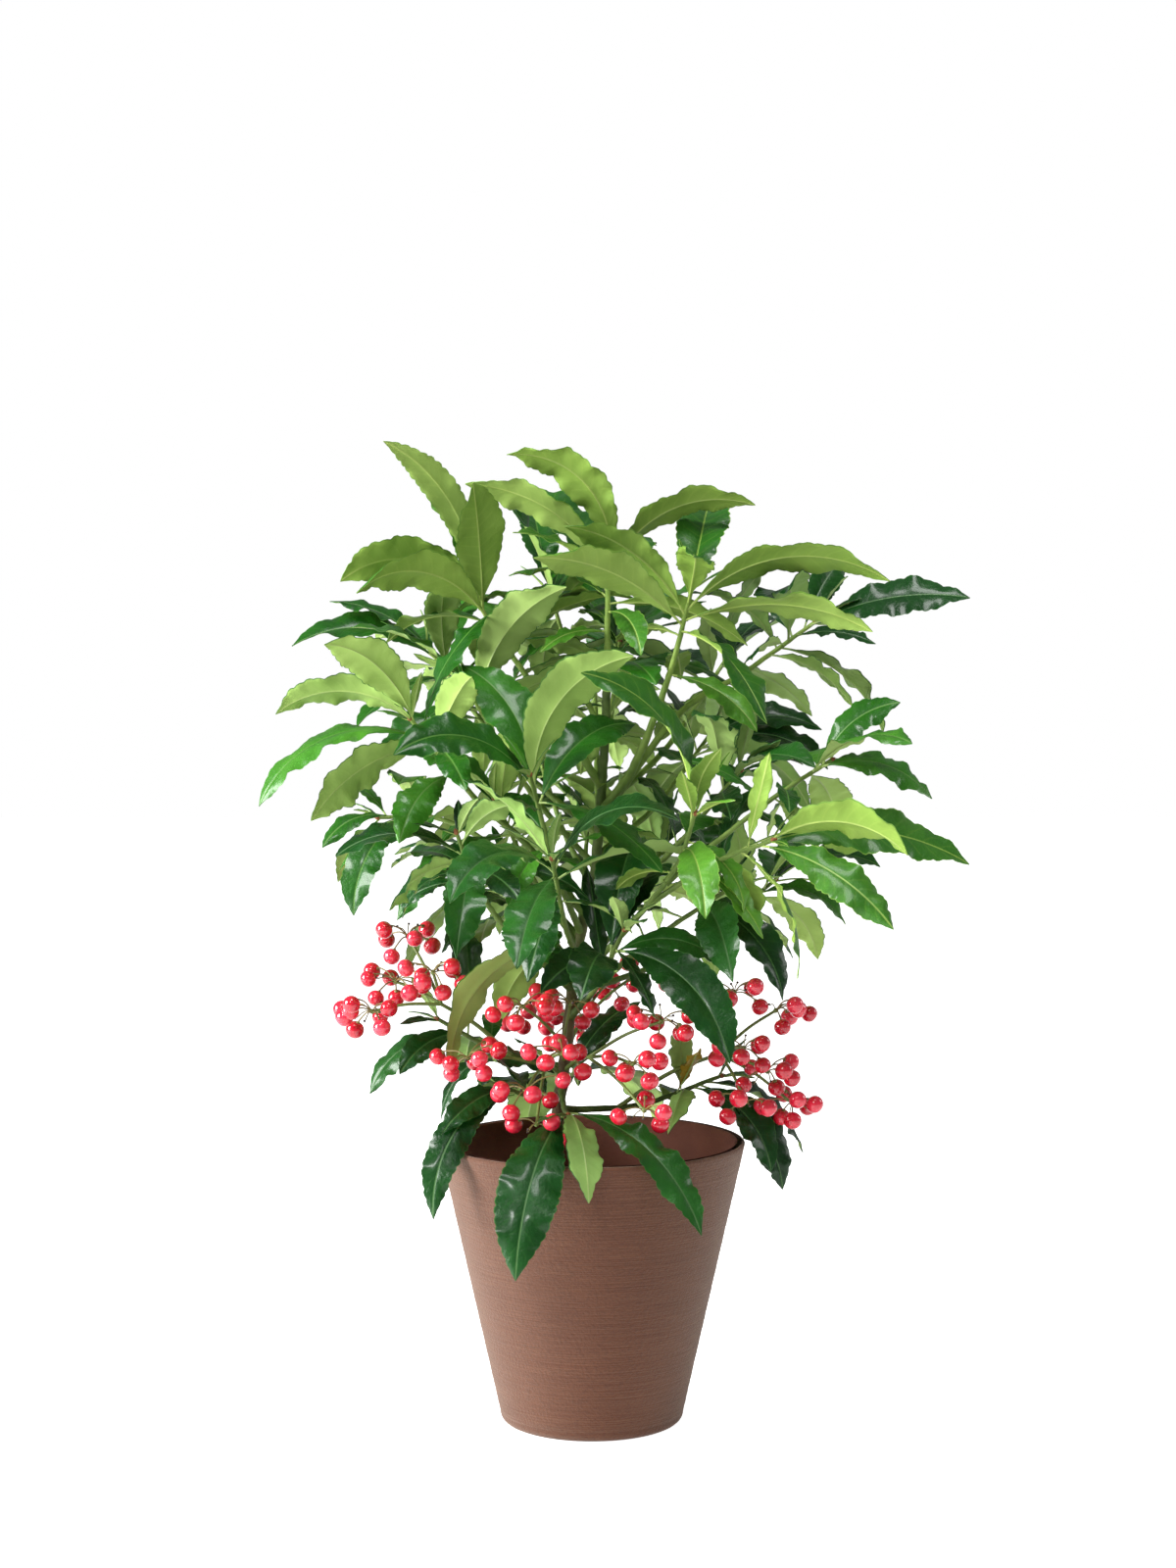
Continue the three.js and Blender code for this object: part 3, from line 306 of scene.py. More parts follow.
def seatLeaf(shoot, direction):
    line = shoot["line"]
    angle = math.degrees(angleBetween(direction, line.heading(line.length)))
    share = min(max((angle - whorlSet["seatFrom"]) / whorlSet["seatOver"], whorlSet["seatLeast"]), 1)
    below = share * min(whorlSet["depth"], line.length / 2)
    while any(abs(seat - below) < whorlSet["seatApart"] for seat in shoot["seats"]):
        below += whorlSet["seatApart"] / 3
    return dict(below=below, foot=line.fromTip(below))


def leafWidth(length, draw):
    return length * leafSet["aspect"] * (1 + leafSet["aspectPlay"] * (draw() - 0.5))


def leafTo(shoot, goal, draw):
    end = np.array(goal[:3], float)
    leaf = seatLeaf(shoot, end - np.array(shoot["path"][-1], float))
    chord = end - leaf["foot"]
    reach = np.linalg.norm(chord)
    leaf["heading"] = math.atan2(chord[1], chord[0])
    leaf["bend"] = math.radians(goal[4])
    leaf["slope"] = math.asin(chord[2] / reach) + leaf["bend"] / 2
    leaf["length"] = reach * (leaf["bend"] / 2) / math.sin(leaf["bend"] / 2)
    leaf["width"] = leafWidth(leaf["length"], draw) * (goal[5] if len(goal) > 5 else 1)
    leaf["roll"] = math.radians(goal[3]) * (1 if math.cos(leaf["heading"]) >= 0 else -1)
    return leaf


def leafOnSpiral(shoot, index, draw):
    axis = shoot["line"].end()[1]
    side = np.array([axis[1], -axis[0], 0])
    side = unit(side) if np.linalg.norm(side) >= whorlSet["flatAxis"] else np.array([1.0, 0, 0])

    def play(amount):
        return amount * (draw() - 0.5)

    def grow(span):
        least, gain, loose = span
        return least + gain * ((index + 0.5) / shoot["count"]) + play(loose)

    around = math.radians(shoot["turn"] + whorlSet["turn"] * index + play(whorlSet["turnPlay"]))
    direction = leanFrom(axis, side, math.radians(grow(whorlSet["opened"])), around)
    length = shoot["size"] * grow(whorlSet["grown"])
    width = leafWidth(length, draw)
    bend = math.radians(whorlSet["bendFrom"] + whorlSet["bendBy"] * draw())
    roll = math.radians(play(whorlSet["rollPlay"]))
    return dict(
        **seatLeaf(shoot, direction), **pointed(direction, whorlSet["lowest"], whorlSet["lift"]),
        bend=bend, length=length, width=width, roll=roll,
    )


def treeOf(points):
    tree = kdtree.KDTree(len(points))
    for i, point in enumerate(points):
        tree.insert(point, i)
    tree.balance()
    return tree


# The frame's own solids say which of the nudges found room: the leaf's tip is a corner there
def cornersOf(*nodes):
    return treeOf([vertex.co * 1000 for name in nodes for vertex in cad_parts[name].data.vertices])


def placeLeaf(shoot, wanted):
    for turn, lift in nudges:
        leaf = dict(wanted)
        leaf["heading"] += math.radians(turn)
        leaf["slope"] += math.radians(lift)
        if shoot["corners"].find(leafTip(leaf))[2] < cornerSlack:
            shoot["leaves"].append(leaf)
            shoot["seats"].append(leaf["below"])
            return


for i, shoot in enumerate(shoots):
    draw = seeded(i + 1)
    shoot.update(leaves=[], seats=[], corners=cornersOf("leaves_" + shoot["name"]))
    for goal in shoot["reach"]:
        placeLeaf(shoot, leafTo(shoot, goal, draw))
    aimed = [leafTip(leaf) - leaf["foot"] for leaf in shoot["leaves"]]
    for k in range(shoot["count"]):
        leaf = leafOnSpiral(shoot, k, draw)
        chord = leafTip(leaf) - leaf["foot"]
        if all(math.degrees(angleBetween(chord, other)) > whorlSet["crowded"] for other in aimed):
            placeLeaf(shoot, leaf)
print("leaves of the source's rule:", sum(len(shoot["leaves"]) for shoot in shoots))

# Older, smaller leaves further down the shoots. Each stays within the reach of the leaves
# above and is kept only where it crosses none of them, no berry and not the pot.
lowerSet = dict(
    tries=9, mostKept=4, seatFrom=16, seatBy=5.5, seatShare=0.8, grown=(0.5, 0.86), turnFrom=75,
    turnPlay=25, openFrom=62, openBy=58, bendFrom=35, bendBy=50, lowest=-0.45, liftBy=20, rollPlay=40,
    near=16, ballShare=0.62, berryRoom=4, potRoom=4, potTop=160, potReach=88, yellowAt=(49, -30, 195),
)
bladeStations = np.array([0.12, 0.25, 0.4, 0.55, 0.7, 0.85, 1])
bladeShares = np.array([0.3, 0.6, 0.85, 0.98, 0.92, 0.6, 0.05])
luck = np.random.default_rng(11)


def coarseBlade(leaf):
    points, flat, above = leafArc(leaf, bladeStations)
    across = flat * math.cos(leaf["roll"]) + above * math.sin(leaf["roll"])
    half = (leaf["width"] / 2 * bladeShares)[:, None]
    points = np.vstack([points - across * half, points, points + across * half])
    faces = ringQuads(3, len(bladeStations), closed=False)
    return dict(
        leaf=leaf, points=points, tree=BVHTree.FromPolygons(points.tolist(), faces.tolist()),
        middle=points.mean(axis=0), radius=leaf["length"] * lowerSet["ballShare"],
    )


def hasRoom(blade):
    points, room = blade["points"], lowerSet["potRoom"]
    low = points[:, 2] < lowerSet["potTop"] + room
    if np.any(low & (np.hypot(points[:, 0], points[:, 1]) < lowerSet["potReach"] + room)):
        return False
    if any(berryTree.find(point)[2] < lowerSet["berryRoom"] for point in points):
        return False
    return not any(
        np.linalg.norm(other["middle"] - blade["middle"]) < other["radius"] + blade["radius"]
        and other["tree"].overlap(blade["tree"])
        for other in blades
    )


def lowerLeaf(shoot, k):
    line = shoot["line"]
    below = min(lowerSet["seatFrom"] + lowerSet["seatBy"] * k, line.length * lowerSet["seatShare"])
    axis = line.heading(line.length - below)
    side = unit(np.cross(axis, askew))
    around = math.radians(shoot["turn"] + lowerSet["turnFrom"] + whorlSet["turn"] * k
                          + luck.uniform(-lowerSet["turnPlay"], lowerSet["turnPlay"]))
    opened = math.radians(lowerSet["openFrom"] + lowerSet["openBy"] * luck.random())
    direction = leanFrom(axis, side, opened, around)
    length = shoot["size"] * luck.uniform(*lowerSet["grown"])
    return dict(
        foot=line.fromTip(below),
        **pointed(direction, lowerSet["lowest"], luck.uniform(0, lowerSet["liftBy"])),
        bend=math.radians(lowerSet["bendFrom"] + lowerSet["bendBy"] * luck.random()),
        length=length, width=leafWidth(length, luck.random),
        roll=math.radians(luck.uniform(-lowerSet["rollPlay"], lowerSet["rollPlay"])),
    )


blades = [coarseBlade(leaf) for shoot in shoots for leaf in shoot["leaves"]]
foliage = treeOf(np.vstack([blade["points"] for blade in blades]))
berryTree = cornersOf(*["berries_" + truss["name"] for truss in trusses])
for shoot in shoots:
    kept = 0
    for k in range(lowerSet["tries"]):
        blade = coarseBlade(lowerLeaf(shoot, k))
        reaches = foliage.find(leafTip(blade["leaf"]))[2] < lowerSet["near"]
        if kept < lowerSet["mostKept"] and reaches and hasRoom(blade):
            shoot["leaves"].append(blade["leaf"])
            blades.append(blade)
            kept += 1

# One leaf turns yellow before it falls, low down among the berries
yellowing = min(blades, key=lambda blade: np.linalg.norm(blade["middle"] - lowerSet["yellowAt"]))
yellowing["leaf"]["aged"] = True
print("leaves with the lower ones:", sum(len(shoot["leaves"]) for shoot in shoots))


# Helpers for meshes: a heap gathers points in millimetres, and becomes one piece in metres
class Heap:
    def __init__(self):
        self.points, self.corners, self.sizes, self.looks, self.places = [], [], [], [], []
        self.count = 0

    def add(self, points, faceSets, places=None):
        if places is None:
            places = np.zeros((len(points), 2))
        for faces, look in faceSets:
            faces = np.asarray(faces)
            self.corners.append(faces.ravel() + self.count)
            self.sizes.append(np.full(len(faces), faces.shape[1]))
            self.looks.append(np.broadcast_to(look, len(faces)))
            self.places.append(places[faces.ravel()])
        self.points.append(points)
        self.count += len(points)


def makePiece(name, heap, materials, nodes, crease=50):
    points = np.concatenate(heap.points) / 1000
    corners = np.concatenate(heap.corners)
    sizes = np.concatenate(heap.sizes)
    mesh = bpy.data.meshes.new(name)
    mesh.vertices.add(len(points))
    mesh.vertices.foreach_set("co", points.ravel())
    mesh.loops.add(len(corners))
    mesh.loops.foreach_set("vertex_index", corners)
    mesh.polygons.add(len(sizes))
    mesh.polygons.foreach_set("loop_start", np.cumsum(sizes) - sizes)
    mesh.polygons.foreach_set("material_index", np.concatenate(heap.looks))
    mesh.polygons.foreach_set("use_smooth", np.ones(len(sizes), bool))
    layer = mesh.uv_layers.new(name="place")
    layer.data.foreach_set("uv", np.concatenate(heap.places).ravel())
    for material in materials:
        mesh.materials.append(material)
    mesh.update(calc_edges=True)
    mesh.validate()
    mesh.set_sharp_from_angle(angle=math.radians(crease))
    piece = bpy.data.objects.new(name, mesh)
    bpy.context.collection.objects.link(piece)
    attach(piece, "root")
    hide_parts(*nodes)
    print(name, int((sizes - 2).sum()), "triangles")


def turnsOf(sides):
    return np.linspace(0, 2 * math.pi, sides, endpoint=False)


rodSet = dict(upright=0.9, dome=0.5)


# Directions across a line of points that turn with it and don't spin
def acrossLine(points):
    tangents = np.gradient(points, axis=0)
    tangents /= np.linalg.norm(tangents, axis=1)[:, None]
    side = np.cross(tangents[0], [0, 1, 0] if abs(tangents[0][1]) < rodSet["upright"] else [1, 0, 0])
    sides = []
    for tangent in tangents:
        side = unit(side - tangent * np.dot(side, tangent))
        sides.append(side)
    return tangents, np.array(sides), np.cross(tangents, sides)


# A round rod along points, with a radius for each ring, or for each of its corners
def addRod(heap, points, radii, sides, look):
    tangents, side, other = acrossLine(points)
    around = turnsOf(sides)[:, None]
    radii = np.broadcast_to(np.asarray(radii, float).reshape(len(points), -1), (len(points), sides))
    ring = side[:, None] * np.cos(around) + other[:, None] * np.sin(around)
    skin = points[:, None] + ring * radii[..., None]
    ends = np.array([points[0], points[-1] + tangents[-1] * radii[-1].mean() * rodSet["dome"]])
    last = (len(points) - 1) * sides
    low, high = len(points) * sides, len(points) * sides + 1
    fans = []
    for j in range(sides):
        fans.append([(j + 1) % sides, j, low])
        fans.append([last + j, last + (j + 1) % sides, high])
    heap.add(np.vstack([skin.reshape(-1, 3), ends]), [(ringQuads(len(points), sides), look), (fans, look)])


# A short rod about a place, of a kind such as a bud: how far its rings stand along, and their radii
def addBead(heap, kind, place, axis):
    addRod(heap, place + np.outer(kind["along"], axis), kind["radii"], kind["sides"], kind["look"])


# A turned form about an upright line from a profile of radius and height
def addTurned(heap, profile, sides, look):
    around = turnsOf(sides)
    points = np.empty((len(profile), sides, 3))
    points[..., 0] = profile[:, :1] * np.cos(around)
    points[..., 1] = profile[:, :1] * np.sin(around)
    points[..., 2] = profile[:, 1:]
    heap.add(points.reshape(-1, 3), [(ringQuads(len(profile), sides), look)])


# Helpers for materials
def colour(red, green, blue):
    parts = np.array([red, green, blue]) / 255
    low, high = parts / 12.92, ((parts + 0.055) / 1.055) ** 2.4
    return (*np.where(parts <= 0.04045, low, high), 1)


def node(tree, kind, inputs=None, **settings):
    made = tree.nodes.new(kind)
    for key, value in settings.items():
        setattr(made, key, value)
    for key, value in (inputs or {}).items():
        if isinstance(value, bpy.types.NodeSocket):
            tree.links.new(value, made.inputs[key])
        else:
            made.inputs[key].default_value = value
    return made


def reckon(tree, operation, a, b=0.0, c=0.0, **settings):
    return node(tree, "ShaderNodeMath", {0: a, 1: b, 2: c}, operation=operation, **settings).outputs[0]


def blend(tree, share, a, b):
    inputs = {0: share, 6: a, 7: b}
    return node(tree, "ShaderNodeMix", inputs, data_type="RGBA").outputs[2]


def spread(tree, value, low, high, toLow, toHigh):
    inputs = {"Value": value, "From Min": low, "From Max": high, "To Min": toLow, "To Max": toHigh}
    return node(tree, "ShaderNodeMapRange", inputs, interpolation_type="SMOOTHSTEP").outputs[0]


def newGroup(name, takes, gives):
    tree = bpy.data.node_groups.new(name, "ShaderNodeTree")
    for label, kind, value in takes:
        socket = tree.interface.new_socket(name=label, in_out="INPUT", socket_type="NodeSocket" + kind)
        socket.default_value = value
    for label, kind in gives:
        tree.interface.new_socket(name=label, in_out="OUTPUT", socket_type="NodeSocket" + kind)
    return tree, tree.nodes.new("NodeGroupInput").outputs, tree.nodes.new("NodeGroupOutput").inputs


def newMaterial(name, settings):
    material = bpy.data.materials.new(name)
    material.use_nodes = True
    shader = material.node_tree.nodes["Principled BSDF"]
    for key, value in settings.items():
        shader.inputs[key].default_value = value
    return material, material.node_tree, shader


def bump(tree, shader, height, relief):
    strength, distance = relief
    made = node(tree, "ShaderNodeBump", {"Height": height, "Strength": strength, "Distance": distance})
    tree.links.new(made.outputs["Normal"], shader.inputs["Normal"])


# Group: uneven colour, a deep and a light tone mixed by soft cloudy patches
mottleSet = dict(detail=4, middle=0.5, gain=4.0)
mottleTree, takes, gives = newGroup(
    "unevenTone",
    [("Deep", "Color", (0, 0, 0, 1)), ("Light", "Color", (1, 1, 1, 1)), ("Scale", "Float", 40),
     ("Contrast", "Float", 0.5)],
    [("Colour", "Color"), ("Patch", "Float")],
)
where = node(mottleTree, "ShaderNodeTexCoord").outputs["Object"]
cloud = node(mottleTree, "ShaderNodeTexNoise",
             {"Vector": where, "Scale": takes["Scale"], "Detail": mottleSet["detail"]})
wide = reckon(mottleTree, "SUBTRACT", cloud.outputs["Fac"], mottleSet["middle"])
wide = reckon(mottleTree, "MULTIPLY", wide, takes["Contrast"])
patch = reckon(mottleTree, "MULTIPLY_ADD", wide, mottleSet["gain"], mottleSet["middle"], use_clamp=True)
mottleTree.links.new(blend(mottleTree, patch, takes["Deep"], takes["Light"]), gives["Colour"])
mottleTree.links.new(patch, gives["Patch"])

# Group: fine grain for relief and gloss
grainSet = dict(detail=3, rough=0.6)
grainTree, takes, gives = newGroup(
    "fineGrain",
    [("Scale", "Float", 900), ("Stretch", "Vector", (1, 1, 1))],
    [("Height", "Float")],
)
where = node(grainTree, "ShaderNodeTexCoord").outputs["Object"]
pulled = node(grainTree, "ShaderNodeVectorMath", {0: where, 1: takes["Stretch"]}, operation="MULTIPLY")
grain = node(grainTree, "ShaderNodeTexNoise",
             {"Vector": pulled.outputs[0], "Scale": takes["Scale"], "Detail": grainSet["detail"],
              "Roughness": grainSet["rough"]})
grainTree.links.new(grain.outputs["Fac"], gives["Height"])

# Group: side veins and the thin edge of a leaf, from its own places across and along
veinSet = dict(bendPower=1.3, bend=0.1, fade=(0.55, 0.95), edge=(0.94, 1.0))
veinTree, takes, gives = newGroup(
    "leafVeins",
    [("Pairs", "Float", 13), ("Width", "Float", 0.16)],
    [("Vein", "Float"), ("Edge", "Float"), ("Height", "Float")],
)
place = node(veinTree, "ShaderNodeUVMap", uv_map="place").outputs["UV"]
parts = node(veinTree, "ShaderNodeSeparateXYZ", {0: place}).outputs
fromRib = reckon(veinTree, "ABSOLUTE", reckon(veinTree, "SUBTRACT", parts["X"], 0.5))
fromRib = reckon(veinTree, "MULTIPLY", fromRib, 2.0)
swept = reckon(veinTree, "POWER", fromRib, veinSet["bendPower"])
swept = reckon(veinTree, "MULTIPLY", swept, veinSet["bend"])
along = reckon(veinTree, "MULTIPLY", reckon(veinTree, "SUBTRACT", parts["Y"], swept), takes["Pairs"])
between = reckon(veinTree, "PINGPONG", along, 0.5)
vein = spread(veinTree, between, 0.0, takes["Width"], 1.0, 0.0)
fading = spread(veinTree, fromRib, *veinSet["fade"], 1.0, 0.0)
bulge = spread(veinTree, between, 0.0, 0.5, 0.0, 1.0)
veinTree.links.new(reckon(veinTree, "MULTIPLY", vein, fading), gives["Vein"])
veinTree.links.new(spread(veinTree, fromRib, *veinSet["edge"], 0.0, 1.0), gives["Edge"])
veinTree.links.new(reckon(veinTree, "MULTIPLY", bulge, fading), gives["Height"])


def useGroup(tree, groupTree, inputs):
    return node(tree, "ShaderNodeGroup", inputs, node_tree=groupTree).outputs


def unevenTone(tree, tones, scale, contrast=0.5):
    deep, light = tones
    return useGroup(tree, mottleTree, {"Deep": colour(*deep), "Light": colour(*light), "Scale": scale,
                                       "Contrast": contrast})


def fineGrain(tree, scale, stretch=(1, 1, 1)):
    return useGroup(tree, grainTree, {"Scale": scale, "Stretch": stretch})["Height"]


# A material of one uneven tone with a fine grain
def plainMaterial(name, tones, look):
    material, tree, shader = newMaterial(name, look["shader"])
    tree.links.new(unevenTone(tree, tones, look["patches"])["Colour"], shader.inputs["Base Color"])
    bump(tree, shader, fineGrain(tree, look["grain"], look["stretch"]), look["relief"])
    return material


# Leaf finishes: tones of the upper and under side, and of the midrib seen from each
# The young finish is lighter partly because young leaves are paler and partly as painted light for the glow
# through the top leaves. The dark finish, on the low and inner shoots, is partly older leaves and partly
# painted shade.
leafTones = {
    "leaf_young": dict(
        upper=[((22, 71, 15), (46, 99, 25)), ((36, 88, 21), (67, 120, 33)), ((49, 103, 25), (85, 137, 41))],
        under=[((110, 143, 56), (133, 163, 73)), ((118, 151, 59), (140, 170, 76)),
               ((126, 154, 69), (148, 175, 88))],
        ribUpper=(128, 164, 66), ribUnder=(176, 200, 98), coat=0.2, rough=0.36,
    ),
    "leaf_green": dict(
        upper=[((13, 60, 8), (31, 88, 18)), ((19, 72, 10), (43, 102, 22)), ((31, 88, 16), (64, 122, 32))],
        under=[((128, 160, 76), (154, 184, 97)), ((136, 168, 79), (162, 192, 101)),
               ((142, 172, 89), (168, 195, 112))],
        ribUpper=(76, 124, 44), ribUnder=(168, 194, 104), coat=0.3, rough=0.29,
    ),
    "leaf_dark": dict(
        upper=[((6, 37, 9), (15, 56, 17)), ((9, 47, 12), (21, 71, 22)), ((15, 60, 14), (35, 88, 28))],
        under=[((114, 149, 74), (138, 171, 92)), ((122, 157, 76), (148, 179, 96)),
               ((131, 162, 85), (155, 182, 105))],
        ribUpper=(60, 104, 46), ribUnder=(158, 184, 104), coat=0.3, rough=0.26,
    ),
}
agedTones = dict(tones=((96, 98, 24), (150, 122, 34)), veinTone=(168, 160, 70), edgeTone=(120, 96, 30))
leafSides = dict(
    upper=dict(dapple=1.8, raised=0.3),
    under=dict(rough=0.55, coat=0.0, dapple=0.5, raised=-0.25),
    aged=dict(rough=0.45, coat=0.1, dapple=1, raised=0.3),
)
leafLook = dict(
    specular=0.16, coatRough=0.17, patches=28, contrast=0.55, pairs=13, veinWidth=0.14, veinShare=0.1,
    edgeShare=0.7, roughPlay=0.12, grain=420, relief=(0.5, 0.0006),
)
ribLook = dict(shader={"Roughness": 0.45}, deep=0.82, patches=60, grain=1400, stretch=(1, 1, 1),
               relief=(0.3, 0.0003))


def leafMaterial(name, tones, veinTone, edgeTone, rough, coat, dapple, raised):
    material, tree, shader = newMaterial(name, {
        "Specular IOR Level": leafLook["specular"], "Coat Roughness": leafLook["coatRough"],
        "Coat Weight": coat,
    })
    tone = unevenTone(tree, tones, leafLook["patches"], leafLook["contrast"])
    marks = useGroup(tree, veinTree, {"Pairs": leafLook["pairs"], "Width": leafLook["veinWidth"]})
    share = reckon(tree, "MULTIPLY", marks["Vein"], leafLook["veinShare"])
    veined = blend(tree, share, tone["Colour"], colour(*veinTone))
    share = reckon(tree, "MULTIPLY", marks["Edge"], leafLook["edgeShare"])
    tree.links.new(blend(tree, share, veined, colour(*edgeTone)), shader.inputs["Base Color"])
    gloss = reckon(tree, "MULTIPLY_ADD", tone["Patch"], leafLook["roughPlay"], rough)
    tree.links.new(gloss, shader.inputs["Roughness"])
    pucker = reckon(tree, "MULTIPLY", marks["Height"], raised)
    height = reckon(tree, "MULTIPLY_ADD", fineGrain(tree, leafLook["grain"]), dapple, pucker)
    bump(tree, shader, height, leafLook["relief"])
    return material


def ribMaterial(name, tone):
    return plainMaterial(name, ([part * ribLook["deep"] for part in tone], tone), ribLook)


# The looks of a finish: three upper sides, three under sides, the rib above and below, an old leaf
ribAbove, ribBelow, agedLook = 6, 7, 8
finishMaterials = {}
for finish, tones in leafTones.items():
    ribUpper, ribUnder = tones["ribUpper"], tones["ribUnder"]
    gloss = dict(rough=tones["rough"], coat=tones["coat"])
    finishMaterials[finish] = [
        *[leafMaterial(f"{finish}_upper{i + 1}", pair, ribUpper, ribUpper, **gloss, **leafSides["upper"])
          for i, pair in enumerate(tones["upper"])],
        *[leafMaterial(f"{finish}_under{i + 1}", pair, ribUnder, tones["upper"][1][1], **leafSides["under"])
          for i, pair in enumerate(tones["under"])],
        ribMaterial(finish + "_ribUpper", ribUpper),
        ribMaterial(finish + "_ribUnder", ribUnder),
        leafMaterial(finish + "_aged", **agedTones, **leafSides["aged"]),
    ]

# Leaf skins: a closed thin blade with rounded teeth, wavy edges and a midrib ridge below
bladeSet = dict(
    outline=[(0, 0.055), (0.07, 0.06), (0.11, 0.11), (0.2, 0.38), (0.34, 0.74), (0.47, 0.94), (0.6, 1.0),
             (0.72, 0.9), (0.82, 0.68), (0.92, 0.34), (1, 0.01)],
    outlineSteps=400, petiole=[0, 0.025, 0.05, 0.075, 0.095], bladeFrom=0.11, thick=0.38, fullGrown=80,
    halfLeast=0.1, toothed=0.89, leastTeeth=4, toothRows=3, toothLength=5.4, toothDepth=0.95,
    toothRound=0.6, toothMiddle=0.45, toothPlay=(0.55, 1.25), ribHalf=0.46, ribMost=0.3, ribDeep=0.85,
    ridgeFoot=1.05, ridgeFalls=0.85, ridge=[0.25, 1, 0.25], hollow=0.22, stalkAbove=0.45,
    stalkBelow=-0.8, stalkWide=1.2, trough=0.16, troughPlay=0.2, droop=0.1, curl=0.5, twist=34,
    tipTwist=0.8, sweep=3.2, wave=1.7, wavePlay=0.35, waveTurns=3.4, quickTurns=2.3, quickWave=0.45,
)
bladeSpans = dict(blade=(0.07, 0.14), teethStart=(0.16, 0.3), teethEnd=(1.0, 0.88), waveStart=(0.12, 0.4),
                  waveEnd=(1.04, 0.8), curl=(0.5, 1))
columnsUp = np.array([-1, -0.7, -0.36, 0, 0, 0, 0.36, 0.7, 1.0])
columnsDown = np.array([0.96, 0.7, 0.36, 0, 0, 0, -0.36, -0.7, -0.96])
ribSideUp = np.array([0, 0, 0, -1, 0, 1, 0, 0, 0])
ribSideDown = -ribSideUp
upCount, ringCount = len(columnsUp), len(columnsUp) + len(columnsDown)
middleUp, middleDown = upCount // 2, upCount + upCount // 2
outlineSpots = Line([(s, share, 0) for s, share in bladeSet["outline"]])
outlineSpots = outlineSpots.at(np.linspace(0, 1, bladeSet["outlineSteps"]))
chance = np.random.default_rng(53)


# A smooth step along the leaf, over the span of that name
def ease(span, s):
    low, high = bladeSpans[span]
    share = np.clip((s - low) / (high - low), 0, 1)
    return share * share * (3 - 2 * share)


